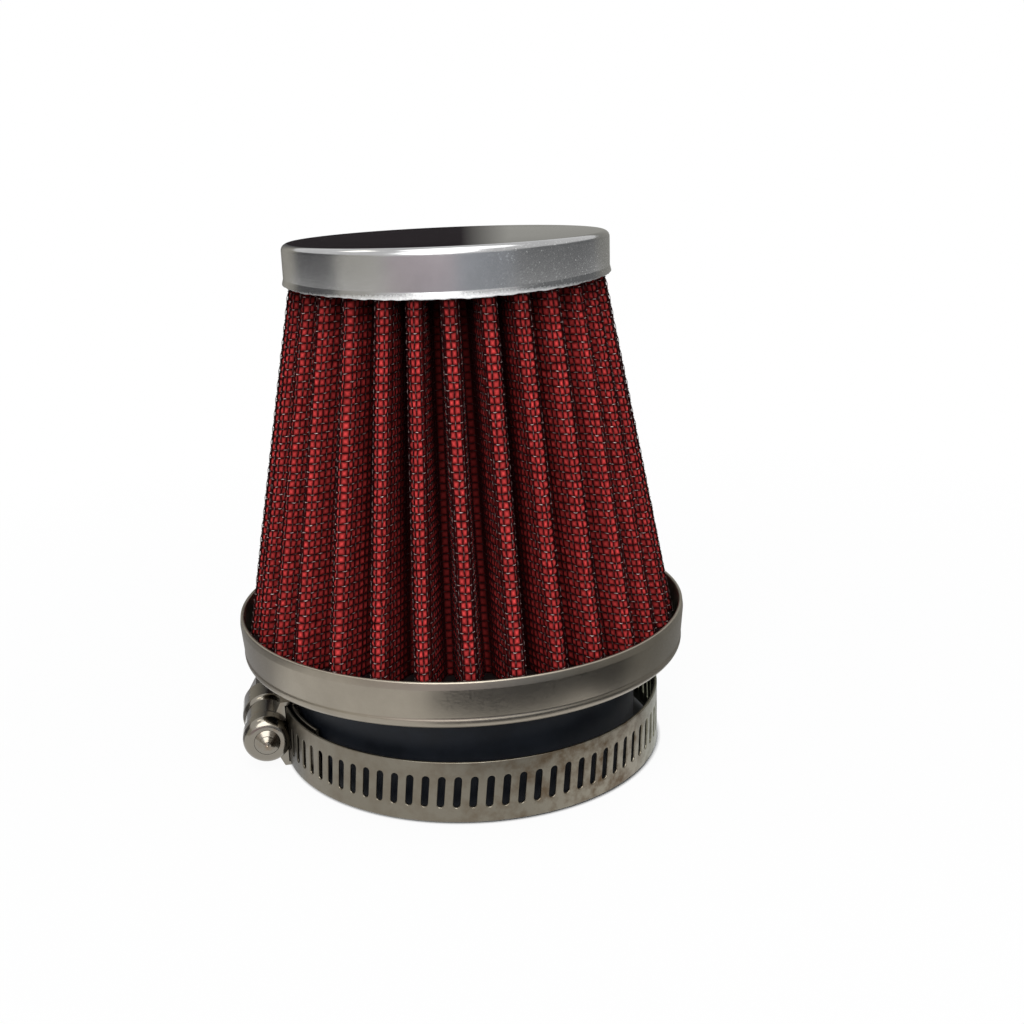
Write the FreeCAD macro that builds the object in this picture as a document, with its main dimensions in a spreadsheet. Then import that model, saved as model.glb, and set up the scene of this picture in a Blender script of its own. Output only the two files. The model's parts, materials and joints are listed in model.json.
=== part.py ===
# A cone-shaped clamp-on air filter, in millimetres.
# The origin is the centre of the neck's open end. The filter stands on that end, with +Z towards the cap.

import FreeCAD, Part
import Sketcher
import math
import os

doc = FreeCAD.newDocument("air_filter")

# Driving sizes: name, value
SIZES = (
    # rubber neck that slips over the intake pipe
    ("neck_outer_radius", 37.0),
    ("neck_wall", 4.5),
    ("neck_length", 23.4),
    ("neck_mouth_edge", 0.8),
    ("flange_thickness", 2.5),
    # pressed pan round the foot of the pleats
    ("pan_radius", 47.5),
    ("pan_height", 9.6),
    ("pan_sheet", 0.8),
    ("pan_corner", 2.0),
    ("pan_draft", 0.4),
    ("pan_hole_clearance", 0.15),
    ("base_seal_thickness", 2.5),
    ("seal_ledge", 0.1),
    # pleated filter medium
    ("pleat_count", 30),
    ("pleat_depth", 11.9),
    ("pleat_height", 67.4),
    ("pleat_rim_gap", 1.7),
    ("pleat_cap_gap", 0.15),
    ("first_ridge_angle", 271.5),
    ("media_thickness", 1.2),
    ("crest_bend", 1.15),
    ("valley_bend", 1.15),
    # open cage that keeps the pleats from being sucked in
    ("cage_sheet", 0.6),
    ("cage_gap", 0.15),
    ("cage_rows", 3),
    ("cage_columns", 16),
    ("cage_window_width", 5.5),
    ("cage_window_height", 20.0),
    # pressed cap
    ("cap_radius", 32.8),
    ("cap_height", 8.9),
    ("cap_sheet", 0.5),
    ("cap_corner", 1.4),
    ("cap_lip_flare", 0.3),
    ("cap_lip_height", 1.5),
    ("cap_seal_thickness", 3.0),
    # slotted clamp strap
    ("band_slack", 3.45),
    ("band_thickness", 0.6),
    ("band_width", 12.7),
    ("band_lift", 1.0),
    ("lap_clearance", 0.12),
    ("tail_angle", 33.0),
    ("tongue_angle", 30.0),
    ("ease_angle", 120.0),
    ("slot_count", 55),
    ("slot_pitch", 3.175),
    ("slot_length", 6.3),
    ("slot_width", 1.4),
    ("slot_lean", 6.0),
    # clamp housing
    ("housing_angle", 187.5),
    ("housing_rear", 11.0),
    ("housing_front", 9.8),
    ("collar_length", 6.5),
    ("rear_collar_length", 9.5),
    ("collar_swell", 0.4),
    ("collar_round", 2.1),
    ("barrel_wall", 0.6),
    ("saddle_half_length", 6.5),
    ("saddle_drop", 1.5),
    ("saddle_side", 1.6),
    ("saddle_shoulder", 0.5),
    ("hook_thickness", 0.8),
    ("hook_reach", 2.2),
    ("strap_clearance", 0.15),
    ("hook_neck_gap", 0.1),
    # worm screw
    ("screw_core_radius", 3.4),
    ("thread_height", 0.6),
    ("thread_clearance", 0.15),
    ("screw_band_gap", 0.4),
    ("journal_radius", 2.7),
    ("journal_clearance", 0.08),
    ("journal_wall", 1.6),
    ("tip_step", 0.6),
    ("tip_ring_radius", 1.7),
    ("tip_point_radius", 0.8),
    ("thrust_clearance", 0.15),
    ("washer_radius", 4.6),
    ("washer_thickness", 1.0),
    ("hex_across_flats", 7.94),
    ("hex_height", 6.0),
    ("hex_edge", 0.6),
    ("driver_slot_width", 1.2),
    ("driver_slot_depth", 1.8),
)

# Sketch vectors and the number of flat facets on a fold
UP = FreeCAD.Vector(0, 0, 1)
CREST_FACETS = 6
VALLEY_FACETS = 4

sheet = doc.addObject("Spreadsheet::Sheet", "Sizes")
for row, (name, value) in enumerate(SIZES, start=1):
    sheet.set(f"A{row}", name)
    sheet.set(f"B{row}", str(value))
    sheet.setAlias(f"B{row}", name)
doc.recompute()


class Size:
    """A length that carries both its number and the sheet expression it comes from."""

    def __init__(self, number, text):
        self.number = number
        self.text = text

    def joined(self, sign, number, text):
        return Size(number, f"({self.text} {sign} {text})")

    def __add__(self, other):
        return self.joined("+", self.number + other.number, other.text)

    def __sub__(self, other):
        return self.joined("-", self.number - other.number, other.text)

    def __mul__(self, other):
        number, text = (other.number, other.text) if isinstance(other, Size) else (other, other)
        return self.joined("*", self.number * number, text)

    def __truediv__(self, other):
        number, text = (other.number, other.text) if isinstance(other, Size) else (other, other)
        return self.joined("/", self.number / number, text)


def size(name):
    """The sheet's value under this name."""
    return Size(float(sheet.get(name)), f"Sizes.{name}")


def bind(target, **properties):
    """Tie an object's properties to sizes."""
    for prop, length in properties.items():
        target.setExpression(prop, length.text)


ZERO = None

# Levels and radii that neighbouring pieces share
bore_radius = size("neck_outer_radius") - size("neck_wall")
floor_under = size("neck_length")
floor_top = floor_under + size("pan_sheet")
flange_top = floor_top + size("flange_thickness")
media_foot = flange_top + size("base_seal_thickness")
rim_level = floor_under + size("pan_height")
lip_level = rim_level + size("pleat_height")
cap_top = lip_level + size("cap_height")
cap_inside = cap_top - size("cap_sheet")
media_head = cap_inside - size("cap_seal_thickness")
bed_radius = size("pan_radius") - size("pan_corner") - size("pan_draft")

ridge_at_rim = size("pan_radius") - size("pan_sheet") - size("pleat_rim_gap")
ridge_at_lip = size("cap_radius") - size("cap_sheet") - size("pleat_cap_gap")
cone_slope = (ridge_at_rim - ridge_at_lip) / size("pleat_height")
media_foot_radius = ridge_at_rim + cone_slope * (rim_level - media_foot)
media_head_radius = ridge_at_lip - cone_slope * (media_head - lip_level)
cage_inset = size("pleat_depth") + size("cage_gap")
cage_foot_radius = media_foot_radius - cage_inset
cage_head_radius = media_head_radius - cage_inset

band_inside = size("neck_outer_radius") + size("band_slack")
band_outside = band_inside + size("band_thickness")
band_middle = size("band_lift") + size("band_width") / 2
passage_inside = band_inside - size("saddle_drop")
hook_inside = passage_inside - size("hook_thickness")
axis_radius = band_outside + size("screw_band_gap") + size("screw_core_radius")
clamp_shift = hook_inside - size("neck_outer_radius") - size("hook_neck_gap")
tunnel_radius = size("screw_core_radius") + size("thread_height") + size("thread_clearance")
barrel_radius = tunnel_radius + size("barrel_wall")


def clamp_placement():
    """The clamp hangs on the neck by its housing, turned to the side where the housing sits."""
    turn = FreeCAD.Rotation(UP, size("housing_angle").number)
    away = turn.multVec(FreeCAD.Vector(-clamp_shift.number, 0, 0))
    return FreeCAD.Placement(away, turn)


def origin_plane(body, role):
    """One of the body's own base planes."""
    return next(item for item in body.Origin.OriginFeatures if item.Role == role)


def outline(body, name, role, corners):
    """A closed sketch of straight lines, each corner pinned to the sheet; None stands for zero."""
    sketch = body.newObject("Sketcher::SketchObject", name)
    sketch.AttachmentSupport = (origin_plane(body, role), [""])
    sketch.MapMode = "FlatFace"
    points = [FreeCAD.Vector(x.number if x else 0, y.number if y else 0, 0) for x, y in corners]
    count = len(points)
    for i in range(count):
        sketch.addGeometry(Part.LineSegment(points[i], points[(i + 1) % count]))
    for i in range(count):
        sketch.addConstraint(Sketcher.Constraint("Coincident", i, 2, (i + 1) % count, 1))
    for i, corner in enumerate(corners):
        for kind, axis, length in (("DistanceX", -2, corner[0]), ("DistanceY", -1, corner[1])):
            if length is ZERO:
                sketch.addConstraint(Sketcher.Constraint("PointOnObject", i, 1, axis))
                continue
            index = sketch.addConstraint(Sketcher.Constraint(kind, -1, 1, i, 1, length.number))
            sketch.setExpression(f"Constraints[{index}]", length.text)
    return sketch


def revolved(label, corners):
    """A body turned round Z from a half section of (radius, height) corners."""
    body = doc.addObject("PartDesign::Body", label)
    body.Label = label
    sketch = outline(body, f"{label}_section", "XZ_Plane", corners)
    turned = body.newObject("PartDesign::Revolution", f"{label}_turned")
    turned.Profile = sketch
    turned.ReferenceAxis = (sketch, ["V_Axis"])
    turned.Angle = 360
    doc.recompute()
    return body, turned


def ring_edges(feature, *places):
    """Names of the round edges at these (radius, height) places."""
    names = []
    for radius, height in places:
        for i, edge in enumerate(feature.Shape.Edges, start=1):
            curve = edge.Curve
            if curve.TypeId != "Part::GeomCircle":
                continue
            near_radius = abs(curve.Radius - radius.number) < 1e-4
            near_height = abs(edge.CenterOfMass.z - (height.number if height else 0)) < 1e-4
            if near_radius and near_height:
                names.append(f"Edge{i}")
    return names


def rounded(body, base, radius, *places):
    """Round the ring edges at these places."""
    fillet = body.newObject("PartDesign::Fillet", f"{body.Label}_round")
    fillet.Base = (base, ring_edges(base, *places))
    bind(fillet, Radius=radius)
    doc.recompute()
    return fillet


def bevelled(body, base, width, *places):
    """Bevel the ring edges at these places."""
    chamfer = body.newObject("PartDesign::Chamfer", f"{body.Label}_bevel")
    chamfer.Base = (base, ring_edges(base, *places))
    bind(chamfer, Size=width)
    doc.recompute()
    return chamfer


def make_neck():
    """Moulded rubber neck with the flange that lies in the pan."""
    outside = size("neck_outer_radius")
    body, turned = revolved("rubber_neck", (
        (bore_radius, ZERO),
        (outside, ZERO),
        (outside, floor_top),
        (bed_radius, floor_top),
        (bed_radius, flange_top),
        (bore_radius, flange_top),
    ))
    bevelled(body, turned, size("neck_mouth_edge"), (outside, ZERO))
    return body


def make_pan():
    """Pressed sheet pan with a hole for the neck, drawn in a little towards its floor."""
    outside = size("pan_radius")
    inside = outside - size("pan_sheet")
    foot_outside = outside - size("pan_draft")
    foot_inside = inside - size("pan_draft")
    hole = size("neck_outer_radius") + size("pan_hole_clearance")
    body, turned = revolved("base_pan", (
        (hole, floor_under),
        (foot_outside, floor_under),
        (outside, rim_level),
        (inside, rim_level),
        (foot_inside, floor_top),
        (hole, floor_top),
    ))
    corner = rounded(body, turned, size("pan_corner"), (foot_outside, floor_under))
    rounded(body, corner, size("pan_corner") - size("pan_sheet"), (foot_inside, floor_top))
    return body


def make_cap():
    """Pressed sheet cap with a slightly flared lip."""
    outside = size("cap_radius")
    inside = outside - size("cap_sheet")
    flare_level = lip_level + size("cap_lip_height")
    body, turned = revolved("top_cap", (
        (ZERO, cap_top),
        (outside, cap_top),
        (outside, flare_level),
        (outside + size("cap_lip_flare"), lip_level),
        (inside + size("cap_lip_flare"), lip_level),
        (inside, flare_level),
        (inside, cap_inside),
        (ZERO, cap_inside),
    ))
    corner = rounded(body, turned, size("cap_corner"), (outside, cap_top))
    rounded(body, corner, size("cap_corner") - size("cap_sheet"), (inside, cap_inside))
    return body


def cylinder(label, radius, foot, height):
    """An upright cylinder on the filter's axis."""
    solid = doc.addObject("Part::Cylinder", label)
    bind(solid, Radius=radius, Height=height)
    solid.setExpression("Placement.Base.z", foot.text)
    return solid


def cut(label, base, tool):
    """One object less another."""
    result = doc.addObject("Part::Cut", label)
    result.Label = label
    result.Base = base
    result.Tool = tool
    return result


def make_base_seal():
    """Ring of sealant that the feet of the pleats and the cage stand on."""
    thickness = size("base_seal_thickness")
    inside = cage_foot_radius - size("cage_sheet") - size("seal_ledge")
    disc = cylinder("base_seal_disc", bed_radius, flange_top, thickness)
    hole = cylinder("base_seal_hole", inside, flange_top, thickness)
    return cut("base_seal", disc, hole)


def make_cap_seal():
    """Disc of sealant that closes the pleats' upper ends inside the cap."""
    disc = cylinder("cap_seal", size("cap_radius") - size("cap_corner"), media_head,
                    size("cap_seal_thickness"))
    disc.Label = "cap_seal"
    return disc


def fold_points(side, ridge_radius, level):
    """Corners of the folded sheet's outer (side 1) or inner (side -1) face at one level."""
    count = int(size("pleat_count").number)
    half_pitch = math.pi / count
    start = math.radians(size("first_ridge_angle").number)
    half_sheet = size("media_thickness").number / 2
    crest = size("crest_bend").number
    valley = size("valley_bend").number
    crest_centre = ridge_radius.number - half_sheet - crest
    valley_centre = ridge_radius.number - size("pleat_depth").number + half_sheet + valley
    across = valley_centre * math.sin(half_pitch)
    along = crest_centre - valley_centre * math.cos(half_pitch)
    flank_tilt = math.atan2(across, along) - math.asin((crest + valley) / math.hypot(across, along))
    crest_turn = math.pi / 2 - flank_tilt
    valley_turn = crest_turn - half_pitch
    bends = (
        (0, crest_centre, crest + side * half_sheet, 0, -crest_turn, CREST_FACETS),
        (half_pitch, valley_centre, valley - side * half_sheet, math.pi, valley_turn, VALLEY_FACETS),
    )
    points = []
    for pleat in range(count):
        for offset, centre, bend, facing, turn, facets in bends:
            middle = start + 2 * half_pitch * pleat + offset
            for step in range(facets + 1):
                angle = middle + facing + turn * (1 - 2 * step / facets)
                x = centre * math.cos(middle) + bend * math.cos(angle)
                y = centre * math.sin(middle) + bend * math.sin(angle)
                points.append(FreeCAD.Vector(x, y, level.number))
    return points


def polygon(points):
    """A closed wire through these points."""
    return Part.makePolygon(points + points[:1])


def make_media():
    """Pleated medium: one folded sheet, its flanks twisting a little as they close up towards the cap."""
    faces = []
    rims = {}
    for side in (1, -1):
        foot = fold_points(side, media_foot_radius, media_foot)
        head = fold_points(side, media_head_radius, media_head)
        rims[side] = (polygon(foot), polygon(head))
        for i in range(len(foot)):
            faces.append(Part.Face(polygon([foot[i - 1], foot[i], head[i]])))
            faces.append(Part.Face(polygon([foot[i - 1], head[i], head[i - 1]])))
    for outer, inner in zip(rims[1], rims[-1]):
        faces.append(Part.Face(outer).cut(Part.Face(inner)).Faces[0])
    solid = Part.Solid(Part.makeShell(faces))
    solid.fix(1e-6, 1e-6, 1e-6)
    media = doc.addObject("Part::Feature", "pleated_media")
    media.Label = "pleated_media"
    media.Shape = solid
    return media


def make_cage():
    """Cone of perforated sheet inside the pleats."""
    height = media_head - media_foot
    cones = []
    for label, depth in (("cage_outside", 0), ("cage_inside", 1)):
        inset = size("cage_sheet") * depth
        cone = doc.addObject("Part::Cone", label)
        bind(cone, Radius1=cage_foot_radius - inset, Radius2=cage_head_radius - inset, Height=height)
        cone.setExpression("Placement.Base.z", media_foot.text)
        cones.append(cone)
    blank = cut("cage_blank", *cones)
    columns = int(size("cage_columns").number)
    rows = int(size("cage_rows").number)
    width = size("cage_window_width").number
    tall = size("cage_window_height").number
    row_pitch = height.number / rows
    windows = []
    for row in range(rows):
        level = media_foot.number + row_pitch * (row + 0.5) - tall / 2
        corner = FreeCAD.Vector(cage_head_radius.number / 2, -width / 2, level)
        for column in range(columns):
            window = Part.makeBox(cage_foot_radius.number, width, tall, corner)
            turn = 360 / columns * (column + 0.5 * (row % 2))
            window.rotate(FreeCAD.Vector(), UP, turn)
            windows.append(window)
    tools = doc.addObject("Part::Feature", "cage_windows")
    tools.Shape = Part.makeCompound(windows)
    return cut("inner_cage", blank, tools)


def direction(degrees):
    """Unit vector in the XY plane."""
    return FreeCAD.Vector(math.cos(math.radians(degrees)), math.sin(math.radians(degrees)), 0)


def arc(centre, radius, first, last):
    """An arc in the XY plane between two angles in degrees."""
    middle = (first + last) / 2
    through = [centre + direction(angle) * radius for angle in (first, middle, last)]
    return Part.Arc(*through).toShape()


def strap_face():
    """The strap seen from above: a round loop that eases inward to pass under its own tail."""
    thickness = size("band_thickness").number
    inside = band_inside.number
    tail = -size("tail_angle").number
    tongue = 360 + size("tongue_angle").number
    ease = 360 - size("ease_angle").number
    lap = thickness + size("lap_clearance").number
    step_in = lap / (1 - math.cos(math.radians(360 + tail - ease)))
    centre = FreeCAD.Vector()
    eased_centre = direction(ease) * step_in
    eased_inside = inside - step_in
    eased_outside = eased_inside + thickness
    outer = [arc(centre, inside + thickness, tail, ease), arc(eased_centre, eased_outside, ease, tongue)]
    inner = [arc(eased_centre, eased_inside, tongue, ease), arc(centre, inside, ease, tail)]
    ends = []
    for first, last in ((outer[-1], inner[0]), (inner[-1], outer[0])):
        start = first.lastVertex(True).Point
        stop = last.firstVertex(True).Point
        ends.append(Part.LineSegment(start, stop).toShape())
    return Part.Face(Part.Wire(outer + ends[:1] + inner + ends[1:]))


def slot_cutter():
    """One slanted worm slot, standing through the strap's outer layer on the +X side."""
    half_width = size("slot_width").number / 2
    half_length = size("slot_length").number / 2
    corner = half_width * 0.6
    reach = half_width + size("band_thickness").number
    back = band_inside.number - size("lap_clearance").number / 2
    points = []
    for y_sign, z_sign in ((1, 1), (-1, 1), (-1, -1), (1, -1)):
        cut_corner = [
            FreeCAD.Vector(back, y_sign * half_width, z_sign * (half_length - corner)),
            FreeCAD.Vector(back, y_sign * (half_width - corner), z_sign * half_length),
        ]
        points += cut_corner if y_sign == z_sign else cut_corner[::-1]
    cutter = Part.Face(polygon(points)).extrude(FreeCAD.Vector(reach, 0, 0))
    cutter.rotate(FreeCAD.Vector(), FreeCAD.Vector(1, 0, 0), -size("slot_lean").number)
    cutter.translate(UP * band_middle.number)
    return cutter


def make_band():
    """Slotted clamp strap."""
    face = doc.addObject("Part::Feature", "strap_outline")
    face.Shape = strap_face()
    face.setExpression("Placement.Base.z", size("band_lift").text)
    blank = doc.addObject("Part::Extrusion", "strap_blank")
    blank.Base = face
    blank.DirMode = "Custom"
    blank.Dir = UP
    blank.Solid = True
    bind(blank, LengthFwd=size("band_width"))
    pitch_angle = math.degrees(size("slot_pitch").number / band_outside.number)
    first = pitch_angle - size("tail_angle").number
    cutters = []
    for i in range(int(size("slot_count").number)):
        cutter = slot_cutter()
        cutter.rotate(FreeCAD.Vector(), UP, first + i * pitch_angle)
        cutters.append(cutter)
    slots = doc.addObject("Part::Feature", "strap_slots")
    slots.Shape = Part.makeCompound(cutters)
    band = cut("clamp_band", blank, slots)
    band.Placement = clamp_placement()
    return band


def along_screw(solid, start):
    """Lay an upright primitive along the screw's axis, which runs in +Y beside the strap."""
    solid.Placement.Rotation = FreeCAD.Rotation(FreeCAD.Vector(1, 0, 0), -90)
    solid.setExpression("Placement.Base.x", axis_radius.text)
    solid.setExpression("Placement.Base.y", start.text)
    solid.setExpression("Placement.Base.z", band_middle.text)
    return solid


def screw_rod(label, radius, start, length):
    """A cylinder on the screw's axis."""
    rod = doc.addObject("Part::Cylinder", label)
    bind(rod, Radius=radius, Height=length)
    return along_screw(rod, start)


def fused(label, *solids):
    """Several objects as one."""
    result = doc.addObject("Part::MultiFuse", label)
    result.Label = label
    result.Shapes = list(solids)
    return result


def softened(label, base, radius, places):
    """Round the ring edges that lie on the screw's axis at these (radius, position) places."""
    doc.recompute()
    picked = []
    for ring_radius, position in places:
        for i, edge in enumerate(base.Shape.Edges, start=1):
            curve = edge.Curve
            if curve.TypeId != "Part::GeomCircle":
                continue
            on_axis = abs(curve.Center.x - axis_radius.number) < 1e-4
            near = abs(curve.Radius - ring_radius.number) < 1e-4
            if on_axis and near and abs(curve.Center.y - position.number) < 1e-4:
                picked.append((i, radius.number, radius.number))
    result = doc.addObject("Part::Fillet", label)
    result.Base = base
    result.Edges = picked
    return result


def make_housing():
    """Pressed housing that holds the screw over the strap and hooks round the strap's fixed end."""
    rear = size("housing_rear") * -1
    front = size("housing_front")
    collar_start = front - size("collar_length")
    collar_radius = barrel_radius + size("collar_swell")
    rear_collar_radius = collar_radius + size("collar_swell") / 2
    rear_collar_end = rear + size("rear_collar_length")
    barrel = screw_rod("housing_barrel", barrel_radius, rear + size("rear_collar_length") / 2,
                       front - rear - (size("rear_collar_length") + size("collar_length")) / 2)
    collar = screw_rod("housing_collar", collar_radius, collar_start, size("collar_length"))
    soft_collar = softened("housing_collar_round", collar, size("collar_round"),
                           [(collar_radius, front), (collar_radius, collar_start)])
    rear_collar = screw_rod("housing_rear_collar", rear_collar_radius, rear, size("rear_collar_length"))
    soft_rear = softened("housing_rear_round", rear_collar, size("collar_round"),
                         [(rear_collar_radius, rear_collar_end)])
    lip_rear = softened("housing_rear_lip", soft_rear, size("barrel_wall"), [(rear_collar_radius, rear)])
    saddle = doc.addObject("PartDesign::Body", "housing_saddle")
    half_strap = size("band_width") / 2 + size("strap_clearance")
    half_width = half_strap + size("hook_thickness")
    low = band_middle - half_width
    high = band_middle + half_width
    shoulder = band_outside + size("saddle_shoulder")
    section = outline(saddle, "saddle_section", "XZ_Plane", (
        (hook_inside - size("hook_thickness"), low),
        (shoulder, low),
        (axis_radius - size("saddle_side"), band_middle - barrel_radius * 0.8),
        (axis_radius - size("saddle_side"), band_middle + barrel_radius * 0.8),
        (shoulder, high),
        (hook_inside - size("hook_thickness"), high),
    ))
    pad = saddle.newObject("PartDesign::Pad", "saddle_pad")
    pad.Profile = section
    pad.Midplane = True
    bind(pad, Length=size("saddle_half_length") * 2)
    doc.recompute()
    body = fused("housing_solid", barrel, soft_collar, lip_rear, saddle)

    # Room for the screw and the hole for its journal
    wall_back = front - size("journal_wall")
    tunnel = screw_rod("screw_tunnel", tunnel_radius, rear - size("barrel_wall"),
                       wall_back - rear + size("barrel_wall"))
    hole = screw_rod("journal_hole", size("journal_radius") + size("journal_clearance"), wall_back,
                     size("journal_wall"))

    # Room for both layers of the strap, and the open underside between the hooks
    strap_height = half_strap * 2
    outer_room = cylinder("strap_room_outside", band_outside + size("strap_clearance"),
                          band_middle - half_strap, strap_height)
    inner_room = cylinder("strap_room_inside", passage_inside, band_middle - half_strap, strap_height)
    strap_room = cut("strap_room", outer_room, inner_room)
    between = half_strap - size("hook_reach")
    underside = cylinder("hook_opening", passage_inside, band_middle - between, between * 2)
    hook_floor = cylinder("hook_floor", hook_inside, low, half_width * 2)
    room = fused("housing_room", tunnel, hole, strap_room, underside, hook_floor)
    housing = cut("clamp_housing", body, room)
    housing.Placement = clamp_placement()
    return housing


def make_screw():
    """Worm screw with a washered hexagon head; its fine thread is left plain."""
    body = doc.addObject("PartDesign::Body", "clamp_screw")
    body.Label = "clamp_screw"
    front = size("housing_front")
    journal_end = front + size("tip_step")
    core_end = front - size("journal_wall") - size("thrust_clearance")
    washer_front = size("housing_rear") + size("thrust_clearance")
    washer_back = washer_front + size("washer_thickness")
    head_end = washer_back + size("hex_height")
    core = size("screw_core_radius")
    journal = size("journal_radius")
    # The section is drawn with its heights measured from the end of the head.
    section = outline(body, "screw_section", "XZ_Plane", (
        (ZERO, size("driver_slot_depth")),
        (core, size("driver_slot_depth")),
        (core, size("hex_height")),
        (size("washer_radius"), size("hex_height")),
        (size("washer_radius"), size("hex_height") + size("washer_thickness")),
        (core, size("hex_height") + size("washer_thickness")),
        (core, head_end + core_end),
        (journal, head_end + core_end),
        (journal, head_end + front),
        (size("tip_ring_radius"), head_end + journal_end),
        (size("tip_ring_radius"), head_end + journal_end + size("tip_step") / 2),
        (size("tip_point_radius"), head_end + journal_end + size("tip_step") * 1.5),
        (size("tip_point_radius"), head_end + journal_end + size("tip_step") * 2),
        (ZERO, head_end + journal_end + size("tip_step") * 2.5),
    ))
    turned = body.newObject("PartDesign::Revolution", "screw_turned")
    turned.Profile = section
    turned.ReferenceAxis = (section, ["V_Axis"])
    turned.Angle = 360
    doc.recompute()

    hexagon = body.newObject("Sketcher::SketchObject", "head_hexagon")
    hexagon.AttachmentSupport = (origin_plane(body, "XY_Plane"), [""])
    hexagon.MapMode = "FlatFace"
    corner = size("hex_across_flats") / math.sqrt(3)
    corners = [direction(60 * i) * corner.number for i in range(6)]
    for i in range(6):
        hexagon.addGeometry(Part.LineSegment(corners[i], corners[(i + 1) % 6]))
    circle = hexagon.addGeometry(Part.Circle(FreeCAD.Vector(), UP, corner.number), True)
    for i in range(6):
        hexagon.addConstraint(Sketcher.Constraint("Coincident", i, 2, (i + 1) % 6, 1))
        hexagon.addConstraint(Sketcher.Constraint("PointOnObject", i, 1, circle))
    for i in range(1, 6):
        hexagon.addConstraint(Sketcher.Constraint("Equal", 0, i))
    hexagon.addConstraint(Sketcher.Constraint("Coincident", circle, 3, -1, 1))
    hexagon.addConstraint(Sketcher.Constraint("PointOnObject", 0, 1, -1))
    index = hexagon.addConstraint(Sketcher.Constraint("Radius", circle, corner.number))
    hexagon.setExpression(f"Constraints[{index}]", corner.text)
    head = body.newObject("PartDesign::Pad", "hexagon_head")
    head.Profile = hexagon
    bind(head, Length=size("hex_height"))
    doc.recompute()

    # Bevel the hexagon's six corners at the free end
    tops = []
    for i, edge in enumerate(head.Shape.Edges, start=1):
        if edge.BoundBox.ZLength < 1e-6 and abs(edge.CenterOfMass.z) < 1e-6:
            tops.append(f"Edge{i}")
    bevel = body.newObject("PartDesign::Chamfer", "hexagon_bevel")
    bevel.Base = (head, tops)
    bind(bevel, Size=size("hex_edge"))
    doc.recompute()

    half_slot = size("driver_slot_width") / 2
    groove = body.newObject("Sketcher::SketchObject", "driver_slot")
    groove.AttachmentSupport = (origin_plane(body, "XY_Plane"), [""])
    groove.MapMode = "FlatFace"
    reach = size("hex_across_flats")
    ends = [(-1, -1), (1, -1), (1, 1), (-1, 1)]
    points = [FreeCAD.Vector(x * reach.number, y * half_slot.number, 0) for x, y in ends]
    for i in range(4):
        groove.addGeometry(Part.LineSegment(points[i], points[(i + 1) % 4]))
        kind = "Horizontal" if i % 2 == 0 else "Vertical"
        groove.addConstraint(Sketcher.Constraint(kind, i))
    for i in range(4):
        groove.addConstraint(Sketcher.Constraint("Coincident", i, 2, (i + 1) % 4, 1))
    groove.addConstraint(Sketcher.Constraint("Symmetric", 0, 1, 1, 2, -1, 1))
    for kind, line, length in (("DistanceX", 0, reach * 2), ("DistanceY", 1, half_slot * 2)):
        index = groove.addConstraint(Sketcher.Constraint(kind, line, 1, line, 2, length.number))
        groove.setExpression(f"Constraints[{index}]", length.text)
    slot = body.newObject("PartDesign::Pocket", "driver_slot_cut")
    slot.Profile = groove
    slot.Reversed = True
    bind(slot, Length=size("driver_slot_depth"))
    doc.recompute()
    if slot.Shape.Volume >= bevel.Shape.Volume:
        raise RuntimeError("the driver slot cuts nothing")

    # Stand the screw on its axis: the head's end at the rear, the tip towards +Y
    lay = FreeCAD.Rotation(FreeCAD.Vector(1, 0, 0), -90)
    place = FreeCAD.Vector(axis_radius.number, -head_end.number, band_middle.number)
    body.Placement = clamp_placement().multiply(FreeCAD.Placement(place, lay))
    return body


nodes = [
    make_neck(),
    make_pan(),
    make_base_seal(),
    make_media(),
    make_cage(),
    make_cap_seal(),
    make_cap(),
    make_band(),
    make_housing(),
    make_screw(),
]
doc.recompute()

for item in doc.Objects:
    if "Invalid" in item.State or "Error" in item.State:
        raise RuntimeError(f"{item.Name} did not build")

os.makedirs("parts", exist_ok=True)
for node in nodes:
    shape = node.Shape
    if shape.isNull() or not shape.isValid() or len(shape.Solids) != 1:
        raise RuntimeError(f"{node.Label} is not one valid solid")
    shape.exportStep(f"parts/{node.Label}.step")
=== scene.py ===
"""Looks of a clamp-on cone air filter.

Woven wire over red pleats, pressed metal ends, a rubber neck and a strap clamp.
"""

import json
import math

import bpy
import numpy as np
from bpy.props import FloatProperty, FloatVectorProperty, IntProperty, PointerProperty
from mathutils import Matrix, Vector

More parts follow.
